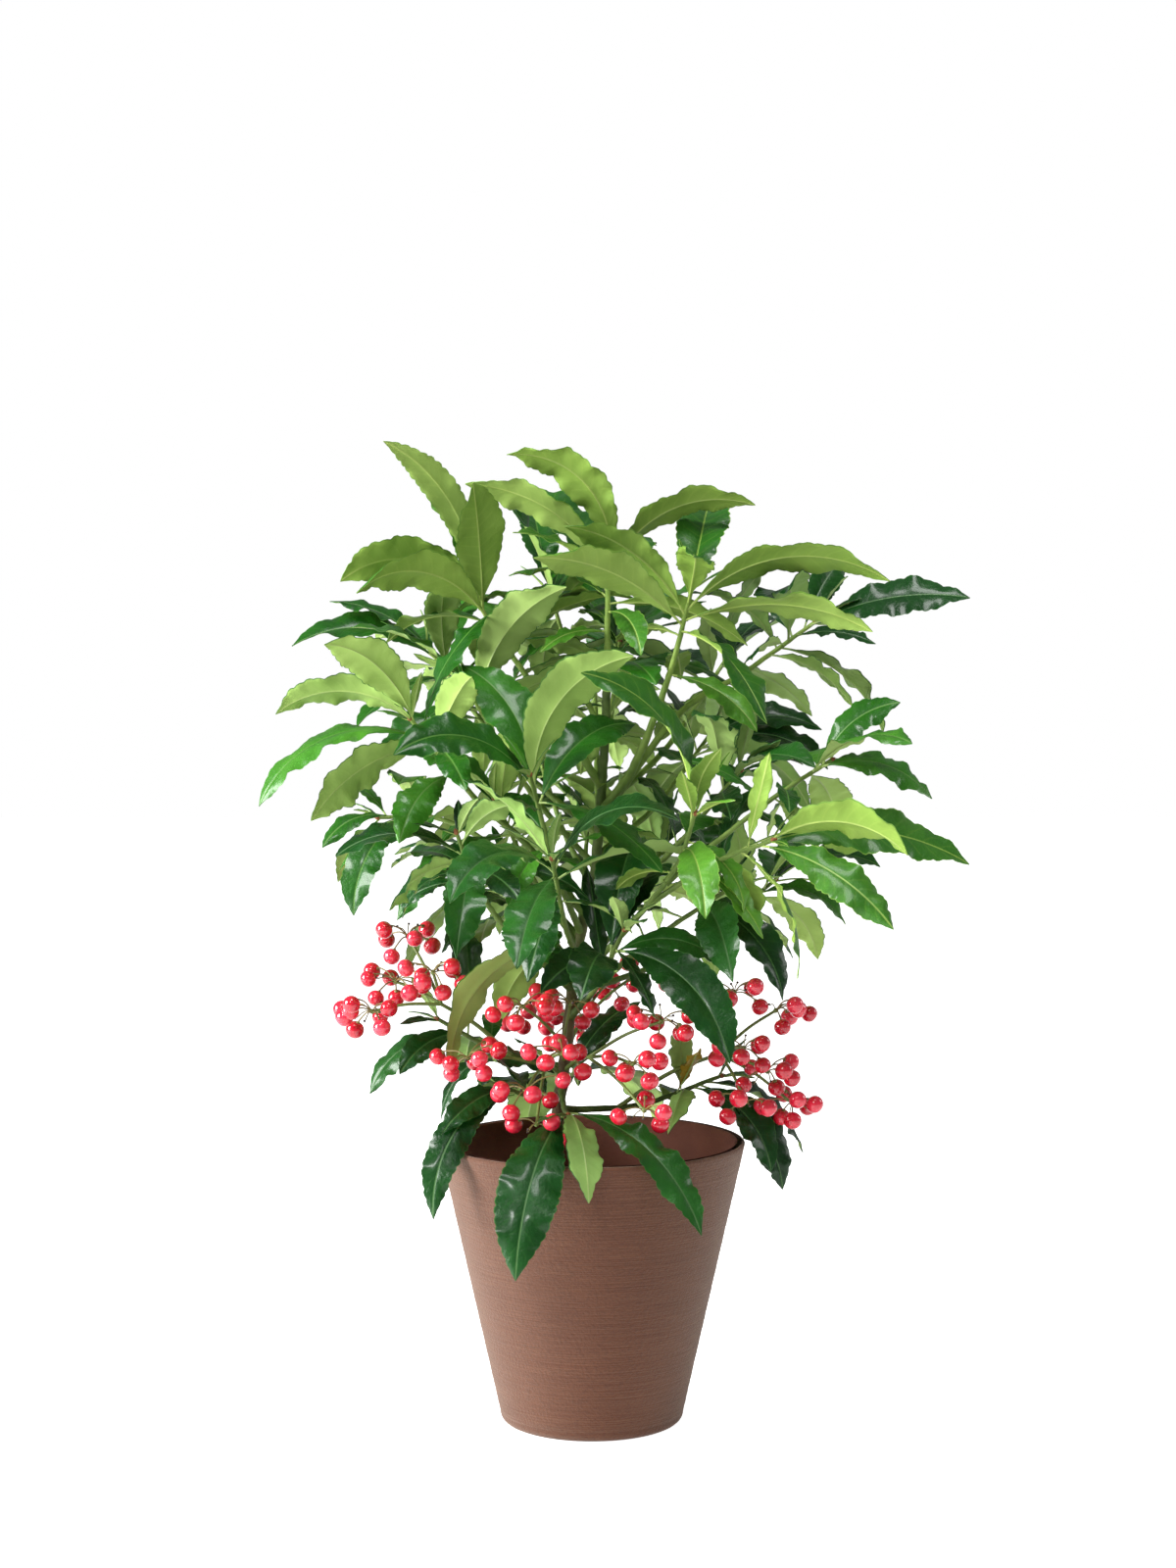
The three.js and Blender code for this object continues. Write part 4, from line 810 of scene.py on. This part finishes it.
def addLeaf(heap, leaf, toothLength=bladeSet["toothLength"], calm=1.0):
    teeth = max(bladeSet["leastTeeth"], round(leaf["length"] * bladeSet["toothed"] / toothLength))
    s = np.linspace(bladeSet["bladeFrom"], 1, bladeSet["toothRows"] * teeth + 1)
    s = np.concatenate([bladeSet["petiole"], s])
    centre, flat, above = leafArc(leaf, s)
    # Play of the twist, sweep, each side's waves (2 to 9), tip twist, trough and curl; one is spare
    play = chance.uniform(-1, 1, 14)
    twist = play[0] * (s - 0.5) + bladeSet["tipTwist"] * play[10] * s**3
    roll = leaf["roll"] + math.radians(bladeSet["twist"]) * calm * twist
    cosRoll, sinRoll = np.cos(roll)[:, None], np.sin(roll)[:, None]
    across = flat * cosRoll + above * sinRoll
    normal = above * cosRoll - flat * sinRoll
    centre = centre + across * (bladeSet["sweep"] * play[1] * calm * np.sin(math.pi * s))[:, None]
    half = leaf["width"] / 2 * np.interp(s, outlineSpots[:, 0], outlineSpots[:, 1])
    blade = ease("blade", s)[:, None]
    rib = bladeSet["ribHalf"] / np.maximum(half, bladeSet["halfLeast"])
    rib = np.minimum(rib, bladeSet["ribMost"])[:, None]
    columns = np.concatenate([columnsUp + ribSideUp * rib, columnsDown + ribSideDown * rib], axis=1)

    # Teeth stand out of the edge, and the edge waves, each side in its own way
    phase = np.clip((s - bladeSet["bladeFrom"]) / (1 - bladeSet["bladeFrom"]), 0, 1) * teeth
    tooth = np.abs(np.sin(math.pi * phase)) ** bladeSet["toothRound"] - bladeSet["toothMiddle"]
    depth = bladeSet["toothDepth"] * ease("teethStart", s) * ease("teethEnd", s)
    scale = min(1, leaf["length"] / bladeSet["fullGrown"])
    edges = []
    waves = []
    for side in (0, 1):
        uneven = chance.uniform(*bladeSet["toothPlay"], teeth + 1)[np.minimum(phase.astype(int), teeth)]
        edges.append((half + tooth * depth * uneven * scale)[:, None])
        turns = bladeSet["waveTurns"] + play[2 + side]
        slow = np.sin(2 * math.pi * (turns * s + play[4 + side]))
        quick = np.sin(2 * math.pi * (turns * bladeSet["quickTurns"] * s + play[6 + side]))
        size = bladeSet["wave"] * scale * calm * (1 + bladeSet["wavePlay"] * play[8 + side])
        swing = size * (slow + bladeSet["quickWave"] * quick)
        waves.append((swing * ease("waveStart", s) * ease("waveEnd", s))[:, None])
    right = columns > 0
    reach = np.where(right, edges[1], edges[0])
    wave = np.where(right, waves[1], waves[0])
    away = np.abs(columns)
    trough = bladeSet["trough"] + bladeSet["troughPlay"] * play[11]
    curl = bladeSet["droop"] + bladeSet["curl"] * max(0, play[12]) * ease("curl", s)[:, None]
    lift = half[:, None] * (trough * away - curl * away**3) + wave * away**2

    # The under side: a thin blade with a ridge, and a round stalk at the foot
    below = np.zeros(columns.shape)
    below[:, upCount:] = bladeSet["thick"]
    ridge = bladeSet["ribDeep"] * (bladeSet["ridgeFoot"] - bladeSet["ridgeFalls"] * s)[:, None]
    below[:, middleDown - 1:middleDown + 2] += ridge * np.array(bladeSet["ridge"])
    below[:, middleUp] = bladeSet["hollow"]
    domed = np.sqrt(np.clip(1 - away**2, 0, 1))
    stalk = np.where(np.arange(ringCount) < upCount, bladeSet["stalkAbove"], bladeSet["stalkBelow"])
    stalk = stalk * domed * leafSet["foot"] * bladeSet["stalkWide"]
    offset = blade * (lift - below) + (1 - blade) * stalk
    skin = (centre[:, None] + across[:, None] * (columns * reach)[..., None]
            + normal[:, None] * offset[..., None])

    tint = int(chance.integers(3))
    rows = len(s)
    looks = np.full((rows - 1, ringCount), tint)
    looks[:, upCount:-1] = tint + 3
    if leaf.get("aged"):
        looks[:] = agedLook
    looks[:, middleUp - 1:middleUp + 1] = ribAbove
    looks[:, middleDown - 1:middleDown + 1] = ribBelow
    looks[s[:-1] < bladeSpans["blade"][0]] = ribBelow
    places = np.stack([columns * 0.5 + 0.5, np.broadcast_to(s[:, None], columns.shape)], axis=-1)
    # Quads of the under side start one corner on, so that both sides fold along the same lines
    quads = ringQuads(rows, ringCount)[:, ::-1].reshape(rows - 1, ringCount, 4)
    quads[:, upCount:-1] = np.roll(quads[:, upCount:-1], 1, axis=2)
    strips = upCount - 1
    ends = np.array([
        [first + k, first + k + 1, first + ringCount - 2 - k, first + ringCount - 1 - k]
        for first in (0, (rows - 1) * ringCount) for k in range(strips)
    ])
    ends[:strips] = ends[:strips, ::-1]
    heap.add(skin.reshape(-1, 3), [(quads.reshape(-1, 4), looks.ravel()), (ends, ribBelow)],
             places.reshape(-1, 2))


# Small leaves still to open, two or three round each tip, with the whorl's own heading
crownSet = dict(
    many=3, few=2, open=24, openBy=22, turnFrom=60, apart=0.6, lowest=-1, lift=6, bend=26, long=(16, 40),
    aspect=0.27, rollPlay=20, toothLength=5.5, calm=0.4,
)


def tipLeaves(shoot):
    axis = shoot["line"].end()[1]
    side = unit(np.cross(axis, askew))
    for k in range(crownSet["many"] if shoot["count"] else crownSet["few"]):
        opened = math.radians(crownSet["open"] + crownSet["openBy"] * chance.random())
        around = math.radians(shoot["turn"] + crownSet["turnFrom"] + whorlSet["turn"] * k)
        direction = leanFrom(axis, side, opened, around)
        length = chance.uniform(*crownSet["long"])
        yield dict(
            foot=shoot["line"].fromTip(crownSet["apart"] * k),
            **pointed(direction, crownSet["lowest"], crownSet["lift"]),
            bend=math.radians(crownSet["bend"]), length=length, width=length * crownSet["aspect"],
            roll=math.radians(chance.uniform(-crownSet["rollPlay"], crownSet["rollPlay"])),
        )


def leafPiece(name, finish, chosen):
    heap = Heap()
    for shoot in chosen:
        for leaf in shoot["leaves"]:
            addLeaf(heap, leaf)
        for leaf in tipLeaves(shoot):
            addLeaf(heap, leaf, crownSet["toothLength"], crownSet["calm"])
    nodes = ["leaves_" + shoot["name"] for shoot in chosen]
    makePiece(name, heap, finishMaterials[finish], nodes, crease=60)


# Leaf pieces: the green and dark ones in two halves, so that none is too heavy
# The young finish carries painted light on the top shoots, and the dark finish carries painted shade on the
# low and inner shoots, each partly real
for finish, halves in (("young", [""]), ("green", ["_upper", "_lower"]), ("dark", ["_upper", "_lower"])):
    own = [shoot for shoot in shoots if shoot["finish"] == finish]
    cuts = [len(own) * i // len(halves) for i in range(len(halves) + 1)]
    for half, first, last in zip(halves, cuts, cuts[1:]):
        leafPiece(f"leaves_{finish}{half}", "leaf_" + finish, own[first:last])

# Wood: the trunk and the boughs, ringed with old leaf marks and lumpy at forks
barkSet = dict(
    step=2.6, least=6, lump=0.05, lumps=[(1, 0.31, 1), (0.7, 0.83, -2), (0.5, 1.9, 3)], shift=6.28,
    mark=0.16, markLong=1.1, markFrom=6.0, markApart=10.5, markPlay=(0.7, 1.3), markRound=0.35,
    markSide=0.65, footPatches=160, headPatches=110, grain=700, stretch=(1, 1, 0.35), reliefHeight=0.0007,
)
barkTones = dict(
    brown=((74, 56, 38), (112, 90, 62)), green=((52, 74, 30), (92, 112, 52)),
    fresh=((96, 128, 48), (138, 164, 74)), bud=((112, 66, 40), (150, 96, 58)),
)
budBead = dict(along=[0, 0.85, 1.7, 2.55, 3.4], radii=[1.2, 1.55, 1.4, 0.9, 0.25], sides=10, look=1)


def barkMaterial(name, foot, head, low, high, relief):
    material, tree, shader = newMaterial(name, {"Roughness": 0.62, "Specular IOR Level": 0.3})
    footTone = unevenTone(tree, barkTones[foot], barkSet["footPatches"])
    headTone = unevenTone(tree, barkTones[head], barkSet["headPatches"])
    where = node(tree, "ShaderNodeTexCoord").outputs["Object"]
    height = node(tree, "ShaderNodeSeparateXYZ", {0: where}).outputs["Z"]
    share = spread(tree, height, low, high, 0.0, 1.0)
    tree.links.new(blend(tree, share, footTone["Colour"], headTone["Colour"]), shader.inputs["Base Color"])
    grain = fineGrain(tree, barkSet["grain"], barkSet["stretch"])
    bump(tree, shader, grain, (relief, barkSet["reliefHeight"]))
    return material


trunkBark = barkMaterial("trunkBark", "brown", "green", 0.15, 0.36, 0.9)
boughBark = barkMaterial("boughBark", "green", "fresh", 0.2, 0.5, 0.5)
budScale = barkMaterial("budScale", "bud", "bud", 0.2, 0.5, 0.5)


# Relief round a limb: slow lumps, and a scar where each old leaf fell
def barkRelief(distances, sides):
    around = turnsOf(sides)[None]
    d = distances[:, None]
    shift = chance.uniform(0, barkSet["shift"], 4)
    relief = 1 + barkSet["lump"] * sum(
        size * np.sin(d * often + shift[i] + turns * around)
        for i, (size, often, turns) in enumerate(barkSet["lumps"])
    )
    place, turn = barkSet["markFrom"], shift[3]
    while place < distances[-1]:
        mark = np.exp(-((d - place) / barkSet["markLong"]) ** 2)
        facing = barkSet["markRound"] + barkSet["markSide"] * np.cos(around - turn)
        relief = relief + barkSet["mark"] * mark * facing
        place += barkSet["markApart"] * chance.uniform(*barkSet["markPlay"])
        turn += math.radians(whorlSet["turn"])
    return relief


# A limb from its foot to its head, flared where it starts
def addLimb(heap, line, ends, flare, sides):
    foot, head = ends
    high, reach = flare
    distances = np.linspace(0, line.length, max(barkSet["least"], round(line.length / barkSet["step"])))
    radii = foot + (head - foot) * distances / line.length + high * np.exp(-distances / reach)
    addRod(heap, line.points(distances), radii[:, None] * barkRelief(distances, sides), sides, 0)


trunkHeap, boughHeap = Heap(), Heap()
addLimb(trunkHeap, limbs["trunk"], trunkSet["ends"], trunkSet["flare"], trunkSet["sides"])
makePiece("trunk_bark", trunkHeap, [trunkBark], ["trunk"])

# Boughs run from inside their parent to their tip, greener towards the end, with a bud there
for shoot in shoots:
    ends = shoot["thick"], limbSet["tip"]
    addLimb(boughHeap, shoot["line"], ends, limbSet["flare"], limbSet["sides"])
    addBead(boughHeap, budBead, *shoot["line"].end())
boughNodes = [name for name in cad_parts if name.startswith(("bough_", "leaves_"))]
makePiece("boughs_bark", boughHeap, [boughBark, budScale], boughNodes)

# Berries: found in the frame as twelve corners round a middle, in the order of the rule
umbelSet = dict(
    seed=500, turn=70, turnPlay=20, downFrom=25, downBy=85, reach=13, reachPlay=5, tries=9,
    tryTurn=50, tryGrowth=0.06, radius=5.2, slack=0.1, cornersLeast=8,
)
berrySet = dict(
    sides=22, rings=15, pole=0.06, flat=0.94, least=0.9, upright=0.7, aslant=[0.2, 0.9, 0.3],
    dent=0.5, dentWide=0.34, eye=0.3, eyeWide=0.25, sunk=0.1,
)
stemStalk = dict(thick=1.15, taper=(1.2, 0.9), bow=0.06, rings=16, sides=10)
umbelStalk = dict(thick=0.85, taper=(1.15, 0.95), bow=0.05, rings=14, sides=10)
pedicelSet = dict(
    thick=0.42, taper=(0.85, 1.25), rings=12, sides=7, bowAt=0.42, bowUp=0.16, lead=0.12,
    empty=3, emptyTurn=40, emptyStep=97, emptyPlace=60, emptyRise=(-0.6, 0.5), emptyOut=0.6,
    emptyLong=(7, 12), emptyThick=0.75,
)
knobBead = dict(along=[-1.6, -0.8, 0, 0.8, 1.5], radii=[0.75, 1.275, 1.5, 1.2, 0.6], sides=10, look=0)
cupBead = dict(along=[-0.3, 0.3, 0.9, 1.2], radii=[0.9, 1.25, 0.9, 0.4], sides=8, look=1)
emptyBead = dict(along=[-0.7, 0, 0.7], radii=[0.35, 0.85, 0.3], sides=7, look=2)
up = np.array([0, 0, 1.0])
berryHeap, stalkHeap = Heap(), Heap()


def hungAt(corners, end, around, down, reach):
    for i in range(umbelSet["tries"]):
        swing = math.radians(around + umbelSet["tryTurn"] * i)
        long = reach * (1 + umbelSet["tryGrowth"] * i)
        centre = end + long * np.array([math.sin(down) * math.cos(swing),
                                        math.sin(down) * math.sin(swing), -math.cos(down)])
        near = corners.find_range(centre, umbelSet["radius"] + umbelSet["slack"])
        least = umbelSet["radius"] - umbelSet["slack"]
        if sum(distance > least for _, _, distance in near) >= umbelSet["cornersLeast"]:
            return centre
    return None


def addBerry(centre, axis, size, tint):
    sides, rings = berrySet["sides"], berrySet["rings"]
    polar = np.linspace(berrySet["pole"], math.pi - berrySet["pole"], rings)
    around = turnsOf(sides)[:, None]
    side = unit(np.cross(axis, berrySet["aslant"]))
    dent = berrySet["dent"] * np.exp(-(polar / berrySet["dentWide"]) ** 2)
    dent = dent - berrySet["eye"] * np.exp(-((math.pi - polar) / berrySet["eyeWide"]) ** 2)
    out, rise = size * np.sin(polar), size * berrySet["flat"] * np.cos(polar) - dent
    ring = side * np.cos(around) + np.cross(axis, side) * np.sin(around)
    points = centre + ring[None] * out[:, None, None] + axis * rise[:, None, None]
    ends = np.array([centre + axis * rise[0], centre + axis * rise[-1]])
    last = (rings - 1) * sides
    top, low = rings * sides, rings * sides + 1
    caps = [[j, (j + 1) % sides, top] for j in range(sides)]
    caps += [[last + (j + 1) % sides, last + j, low] for j in range(sides)]
    berryHeap.add(np.vstack([points.reshape(-1, 3), ends]),
                  [(ringQuads(rings, sides)[:, ::-1], tint), (caps, 3)])


def addCurve(path, thick, shape, look):
    points = Line(path).at(np.linspace(0, 1, shape["rings"]))
    addRod(stalkHeap, points, thick * np.linspace(*shape["taper"], shape["rings"]), shape["sides"], look)


def addStalk(start, end, shape):
    bow = (start + end) / 2 + up * shape["bow"] * np.linalg.norm(end - start)
    addCurve([start, bow, end], shape["thick"], shape, 0)


def addPedicel(knob, top, axis, thick):
    long, away = np.linalg.norm(top - knob), unit(top - knob)
    bow = knob + away * long * pedicelSet["bowAt"] + up * long * pedicelSet["bowUp"]
    addCurve([knob, bow, top + axis * long * pedicelSet["lead"], top], thick, pedicelSet, 1)


def hangBerry(centre, end):
    size = umbelSet["radius"] * chance.uniform(berrySet["least"], 1)
    axis = unit(unit(end - centre) + up * berrySet["upright"])
    addBerry(centre, axis, size, int(chance.integers(3)))
    top = centre + axis * (size * berrySet["flat"] - berrySet["dent"] - berrySet["sunk"])
    addPedicel(end, top, axis, pedicelSet["thick"])
    addBead(stalkHeap, cupBead, top, axis)


# A stalk that has lost its berry keeps a dry cup at its end
def addEmpty(end, out, turn):
    lean = np.array([math.cos(turn), math.sin(turn), chance.uniform(*pedicelSet["emptyRise"])])
    top = end + unit(lean + out * pedicelSet["emptyOut"]) * chance.uniform(*pedicelSet["emptyLong"])
    addPedicel(end, top, unit(end - top), pedicelSet["thick"] * pedicelSet["emptyThick"])
    addBead(stalkHeap, emptyBead, top, unit(top - end))


berryCount = 0
for index, truss in enumerate(trusses):
    corners = cornersOf("berries_" + truss["name"])
    draw = seeded(umbelSet["seed"] + index)
    hub = np.array(truss["hub"], float)
    addStalk(rootOf(truss["start"]), hub, stemStalk)
    for place, (x, y, z, count) in enumerate(truss["umbels"]):
        end = np.array([x, y, z], float)
        out = unit(end - hub)
        addStalk(hub, end, umbelStalk)
        addBead(stalkHeap, knobBead, end, out)
        for k in range(count):
            spin = umbelSet["turnPlay"] * draw()
            around = truss["turn"] + umbelSet["turn"] * place + whorlSet["turn"] * k + spin
            share = math.sqrt((k + 0.5) / count)
            down = math.radians(umbelSet["downFrom"] + umbelSet["downBy"] * share)
            centre = hungAt(corners, end, around, down, umbelSet["reach"] + umbelSet["reachPlay"] * draw())
            if centre is not None:
                hangBerry(centre, end)
                berryCount += 1
        for k in range(pedicelSet["empty"]):
            turn = truss["turn"] + pedicelSet["emptyTurn"] + pedicelSet["emptyStep"] * k
            addEmpty(end, out, math.radians(turn + pedicelSet["emptyPlace"] * place))
print("berries of the source's rule:", berryCount)

berryTones = [((196, 14, 40), (226, 42, 66)), ((208, 24, 50), (236, 60, 84)), ((176, 10, 34), (212, 32, 54))]
berryLook = dict(
    shader={"Roughness": 0.16, "Coat Weight": 0.6, "Coat Roughness": 0.05, "Subsurface Weight": 0.18,
            "Subsurface Radius": (0.004, 0.0012, 0.001), "Subsurface Scale": 0.5},
    patches=190, grain=900, stretch=(1, 1, 1), relief=(0.06, 0.0004),
)
berryMaterials = [plainMaterial(f"berrySkin{i + 1}", tones, berryLook) for i, tones in enumerate(berryTones)]
berryMaterials.append(ribMaterial("berryEye", (58, 30, 22)))
stalkMaterials = [
    ribMaterial("trussStalk", (112, 132, 62)),
    ribMaterial("berryStalk", (132, 118, 66)),
    ribMaterial("emptyCup", (60, 42, 34)),
]
trussNodes = ["berries_" + truss["name"] for truss in trusses]
makePiece("berries_red", berryHeap, berryMaterials, trussNodes)
makePiece("truss_stalks", stalkHeap, stalkMaterials, trussNodes)

# Pot: a plain turned clay cup with fine marks of the turning round it
potSet = dict(
    height=158.3, rim=86.4, foot=51.6, round=5, wall=6, rimRound=1.6, sides=160, soilTop=126, bedDeep=8,
    underside=[(0.01, 1.2), (30, 1.2), (38, 0.4), (42, 0)], markRows=60, innerRows=18,
    mark=0.07, marks=[(1, 1.3, 0), (0.6, 2.9, 1)], markFoot=1, markRim=3, footArc=(-90, 8),
    rimArc=(12, 90), lipArc=(90, 168), middle=0.01,
)
clayLook = dict(
    tones=((73, 34, 14), (90, 47, 23)), patches=9, contrast=0.35, rings=12, threads=30, sand=620,
    stretch=(1, 1, 100), pale=(120, 77, 52), paleSpread=(0.46, 0.68, 0.0, 0.36), deep=(60, 28, 16),
    deepSpread=(0.42, 0.66, 0.0, 0.38), threadRelief=0.5, sandRelief=1.2, relief=(0.5, 0.001),
)
innerLook = dict(shader={"Roughness": 0.88}, patches=40, grain=300, stretch=(1, 1, 3), relief=(0.5, 0.001))
potLean = (potSet["rim"] - potSet["foot"]) / (potSet["height"] - potSet["round"])


def potWallAt(height):
    return potSet["foot"] + potLean * (height - potSet["round"])


def arcPoints(x, z, radius, fromAngle, toAngle, count=7):
    turn = np.radians(np.linspace(fromAngle, toAngle, count))
    return np.stack([x + radius * np.cos(turn), z + radius * np.sin(turn)], axis=1)


clay, tree, shader = newMaterial("turnedClay", {
    "Roughness": 0.6, "Specular IOR Level": 0.2, "Sheen Weight": 0.26, "Sheen Roughness": 0.6,
    "Sheen Tint": (1, 0.88, 0.74, 1),
})
tone = unevenTone(tree, clayLook["tones"], clayLook["patches"], clayLook["contrast"])
marks = fineGrain(tree, clayLook["rings"], clayLook["stretch"])
threads = fineGrain(tree, clayLook["threads"], clayLook["stretch"])
sand = fineGrain(tree, clayLook["sand"])
pale = spread(tree, threads, *clayLook["paleSpread"])
streaked = blend(tree, pale, tone["Colour"], colour(*clayLook["pale"]))
deep = spread(tree, sand, *clayLook["deepSpread"])
tree.links.new(blend(tree, deep, streaked, colour(*clayLook["deep"])), shader.inputs["Base Color"])
height = reckon(tree, "MULTIPLY_ADD", threads, clayLook["threadRelief"], marks)
height = reckon(tree, "MULTIPLY_ADD", sand, clayLook["sandRelief"], height)
bump(tree, shader, height, clayLook["relief"])
innerClay = plainMaterial("innerClay", ((80, 38, 23), (102, 54, 35)), innerLook)

rimRound, bedFoot = potSet["rimRound"], potSet["soilTop"] - potSet["bedDeep"]
rimHeight = potSet["height"] - rimRound
markFrom, markTo = potSet["round"] + potSet["markFoot"], potSet["height"] - potSet["markRim"]
heights = np.linspace(markFrom, markTo, potSet["markRows"])
ripple = sum(size * np.sin(heights * often + shift) for size, often, shift in potSet["marks"])
insideHeights = np.linspace(rimHeight, bedFoot, potSet["innerRows"])
outside = np.vstack([
    potSet["underside"],
    arcPoints(potSet["foot"] - potSet["round"], potSet["round"], potSet["round"], *potSet["footArc"]),
    np.stack([potWallAt(heights) + potSet["mark"] * ripple - potSet["mark"], heights], axis=1),
    arcPoints(potWallAt(rimHeight) - rimRound, rimHeight, rimRound, *potSet["rimArc"]),
])
inside = np.vstack([
    arcPoints(potWallAt(rimHeight) - potSet["wall"] + rimRound, rimHeight, rimRound, *potSet["lipArc"]),
    np.stack([potWallAt(insideHeights) - potSet["wall"], insideHeights], axis=1)[1:],
    [[potSet["middle"], bedFoot]],
])
potHeap = Heap()
addTurned(potHeap, outside, potSet["sides"], 0)
addTurned(potHeap, inside, potSet["sides"], 1)
makePiece("pot_turned", potHeap, [clay, innerClay], ["pot"])

# Soil: an uneven bed with loose crumbs on it
soilSet = dict(
    rings=26, sides=72, middle=0.2, gap=0.4, sinks=2.2, lumps=1.5, lumpShare=0.6, lumpMiddle=0.6,
    crumbs=420, least=0.9, most=3.4, fromEdge=1, lift=0.25, flat=0.75, pole=0.3, shape=(5, 7),
    rough=(0.7, 1.15), lids=[[0, 1, 2, 3], [0, 3, 4, 6], [31, 30, 29, 28], [34, 32, 31, 28]],
    lidCorners=[[4, 5, 6], [34, 33, 32]],
)
soilLook = dict(
    tones=((34, 24, 17), (62, 45, 32)), patches=260, contrast=0.9, grain=520, pale=(104, 84, 62),
    paleSpread=(0.62, 0.7, 0.0, 0.6), relief=(0.8, 0.0015),
)
soil, tree, shader = newMaterial("pottingSoil", {"Roughness": 0.95, "Specular IOR Level": 0.2})
tone = unevenTone(tree, soilLook["tones"], soilLook["patches"], soilLook["contrast"])
grain = fineGrain(tree, soilLook["grain"])
flecks = spread(tree, grain, *soilLook["paleSpread"])
tree.links.new(blend(tree, flecks, tone["Colour"], colour(*soilLook["pale"])), shader.inputs["Base Color"])
bump(tree, shader, grain, soilLook["relief"])

soilEdge = potWallAt(potSet["soilTop"]) - potSet["wall"] - soilSet["gap"]


# The bed sinks towards the pot's wall, with lumps of three sizes
def soilHeight(x, y):
    away = np.hypot(x, y) / soilEdge
    lumps = (np.sin(x * 0.21 + 1) * np.cos(y * 0.17) + 0.6 * np.sin(x * 0.47 - y * 0.39)
             + 0.35 * np.sin(x * 0.9 + y * 0.8 + 2))
    lumps = soilSet["lumps"] * (lumps - soilSet["lumpMiddle"]) * (1 - away**4) * soilSet["lumpShare"]
    return potSet["soilTop"] - soilSet["sinks"] * away**3 + lumps


soilHeap = Heap()
ringRadii = np.linspace(soilSet["middle"], soilEdge, soilSet["rings"])[:, None]
x, y = ringRadii * np.cos(turnsOf(soilSet["sides"])), ringRadii * np.sin(turnsOf(soilSet["sides"]))
bed = np.stack([x, y, soilHeight(x, y)], axis=-1)
soilHeap.add(bed.reshape(-1, 3), [(ringQuads(soilSet["rings"], soilSet["sides"]), 0)])

crumbRows, crumbSides = soilSet["shape"]
polar = np.linspace(soilSet["pole"], math.pi - soilSet["pole"], crumbRows)[:, None]
turns = turnsOf(crumbSides)
crumb = np.stack([np.sin(polar) * np.cos(turns), np.sin(polar) * np.sin(turns),
                  np.broadcast_to(soilSet["flat"] * np.cos(polar), soilSet["shape"])], axis=-1)
crumbQuads = ringQuads(crumbRows, crumbSides)[:, ::-1]
crumbFaces = [(crumbQuads, 0), (soilSet["lids"], 0), (soilSet["lidCorners"], 0)]
for k in range(soilSet["crumbs"]):
    size = soilSet["least"] + (soilSet["most"] - soilSet["least"]) * chance.random() ** 2
    away = (soilEdge - size - soilSet["fromEdge"]) * math.sqrt(chance.random())
    turn = chance.uniform(0, 2 * math.pi)
    spot = np.array([away * math.cos(turn), away * math.sin(turn), 0])
    spot[2] = soilHeight(spot[0], spot[1]) + size * soilSet["lift"]
    rough = chance.uniform(*soilSet["rough"], soilSet["shape"])
    lump = crumb * rough[..., None]
    soilHeap.add(spot + size * lump.reshape(-1, 3), crumbFaces)
makePiece("soil_bed", soilHeap, [soil], ["soil"], crease=80)

# Floor, light and the white room
studioSet = dict(
    floor=(238, 238, 238), floorSize=6.0, glow=0.32, room=0.23, aim=[0, 0, 0.3],
    lights=[
        dict(name="keyLight", place=(-2.1, -0.5, 0.9), size=1.3, power=113),
        dict(name="topLight", place=(0.0, -0.7, 2.3), size=0.9, power=32),
        dict(name="sparkLight", place=(-0.7, -1.9, 1.7), size=0.28, power=13),
        dict(name="rimLight", place=(1.9, 0.5, 0.9), size=0.8, power=6),
    ],
)
floorMesh = bpy.data.meshes.new("floor")
side = studioSet["floorSize"]
corners = [(-side, -side, 0), (side, -side, 0), (side, side, 0), (-side, side, 0)]
floorMesh.from_pydata(corners, [], [(0, 1, 2, 3)])
floor = bpy.data.objects.new("floor", floorMesh)
bpy.context.collection.objects.link(floor)
paleFloor, tree, shader = newMaterial("paleFloor", {
    "Roughness": 0.6, "Base Color": colour(*studioSet["floor"]), "Emission Strength": 1.0,
})
seen = node(tree, "ShaderNodeLightPath").outputs["Is Camera Ray"]
glow = blend(tree, seen, (*[studioSet["glow"]] * 3, 1), (1, 1, 1, 1))
tree.links.new(glow, shader.inputs["Emission Color"])
floorMesh.materials.append(paleFloor)

for light in studioSet["lights"]:
    lamp = bpy.data.lights.new(light["name"], "AREA")
    lamp.shape = "DISK"
    lamp.size = light["size"]
    lamp.energy = light["power"]
    holder = bpy.data.objects.new(light["name"], lamp)
    holder.location = light["place"]
    x, y, z = np.array(studioSet["aim"]) - np.array(light["place"])
    holder.rotation_euler = (math.atan2(math.hypot(x, y), -z), 0, math.atan2(y, x) - math.pi / 2)
    bpy.context.collection.objects.link(holder)

world = bpy.data.worlds.new("whiteRoom")
world.use_nodes = True
bpy.context.scene.world = world
room = world.node_tree.nodes["Background"]
room.inputs["Color"].default_value = (1, 1, 1, 1)
seen = node(world.node_tree, "ShaderNodeLightPath").outputs["Is Camera Ray"]
lit = node(world.node_tree, "ShaderNodeMapRange", {"Value": seen, "To Min": studioSet["room"], "To Max": 1.0})
world.node_tree.links.new(lit.outputs[0], room.inputs["Strength"])
bpy.context.scene.view_settings.view_transform = "Standard"
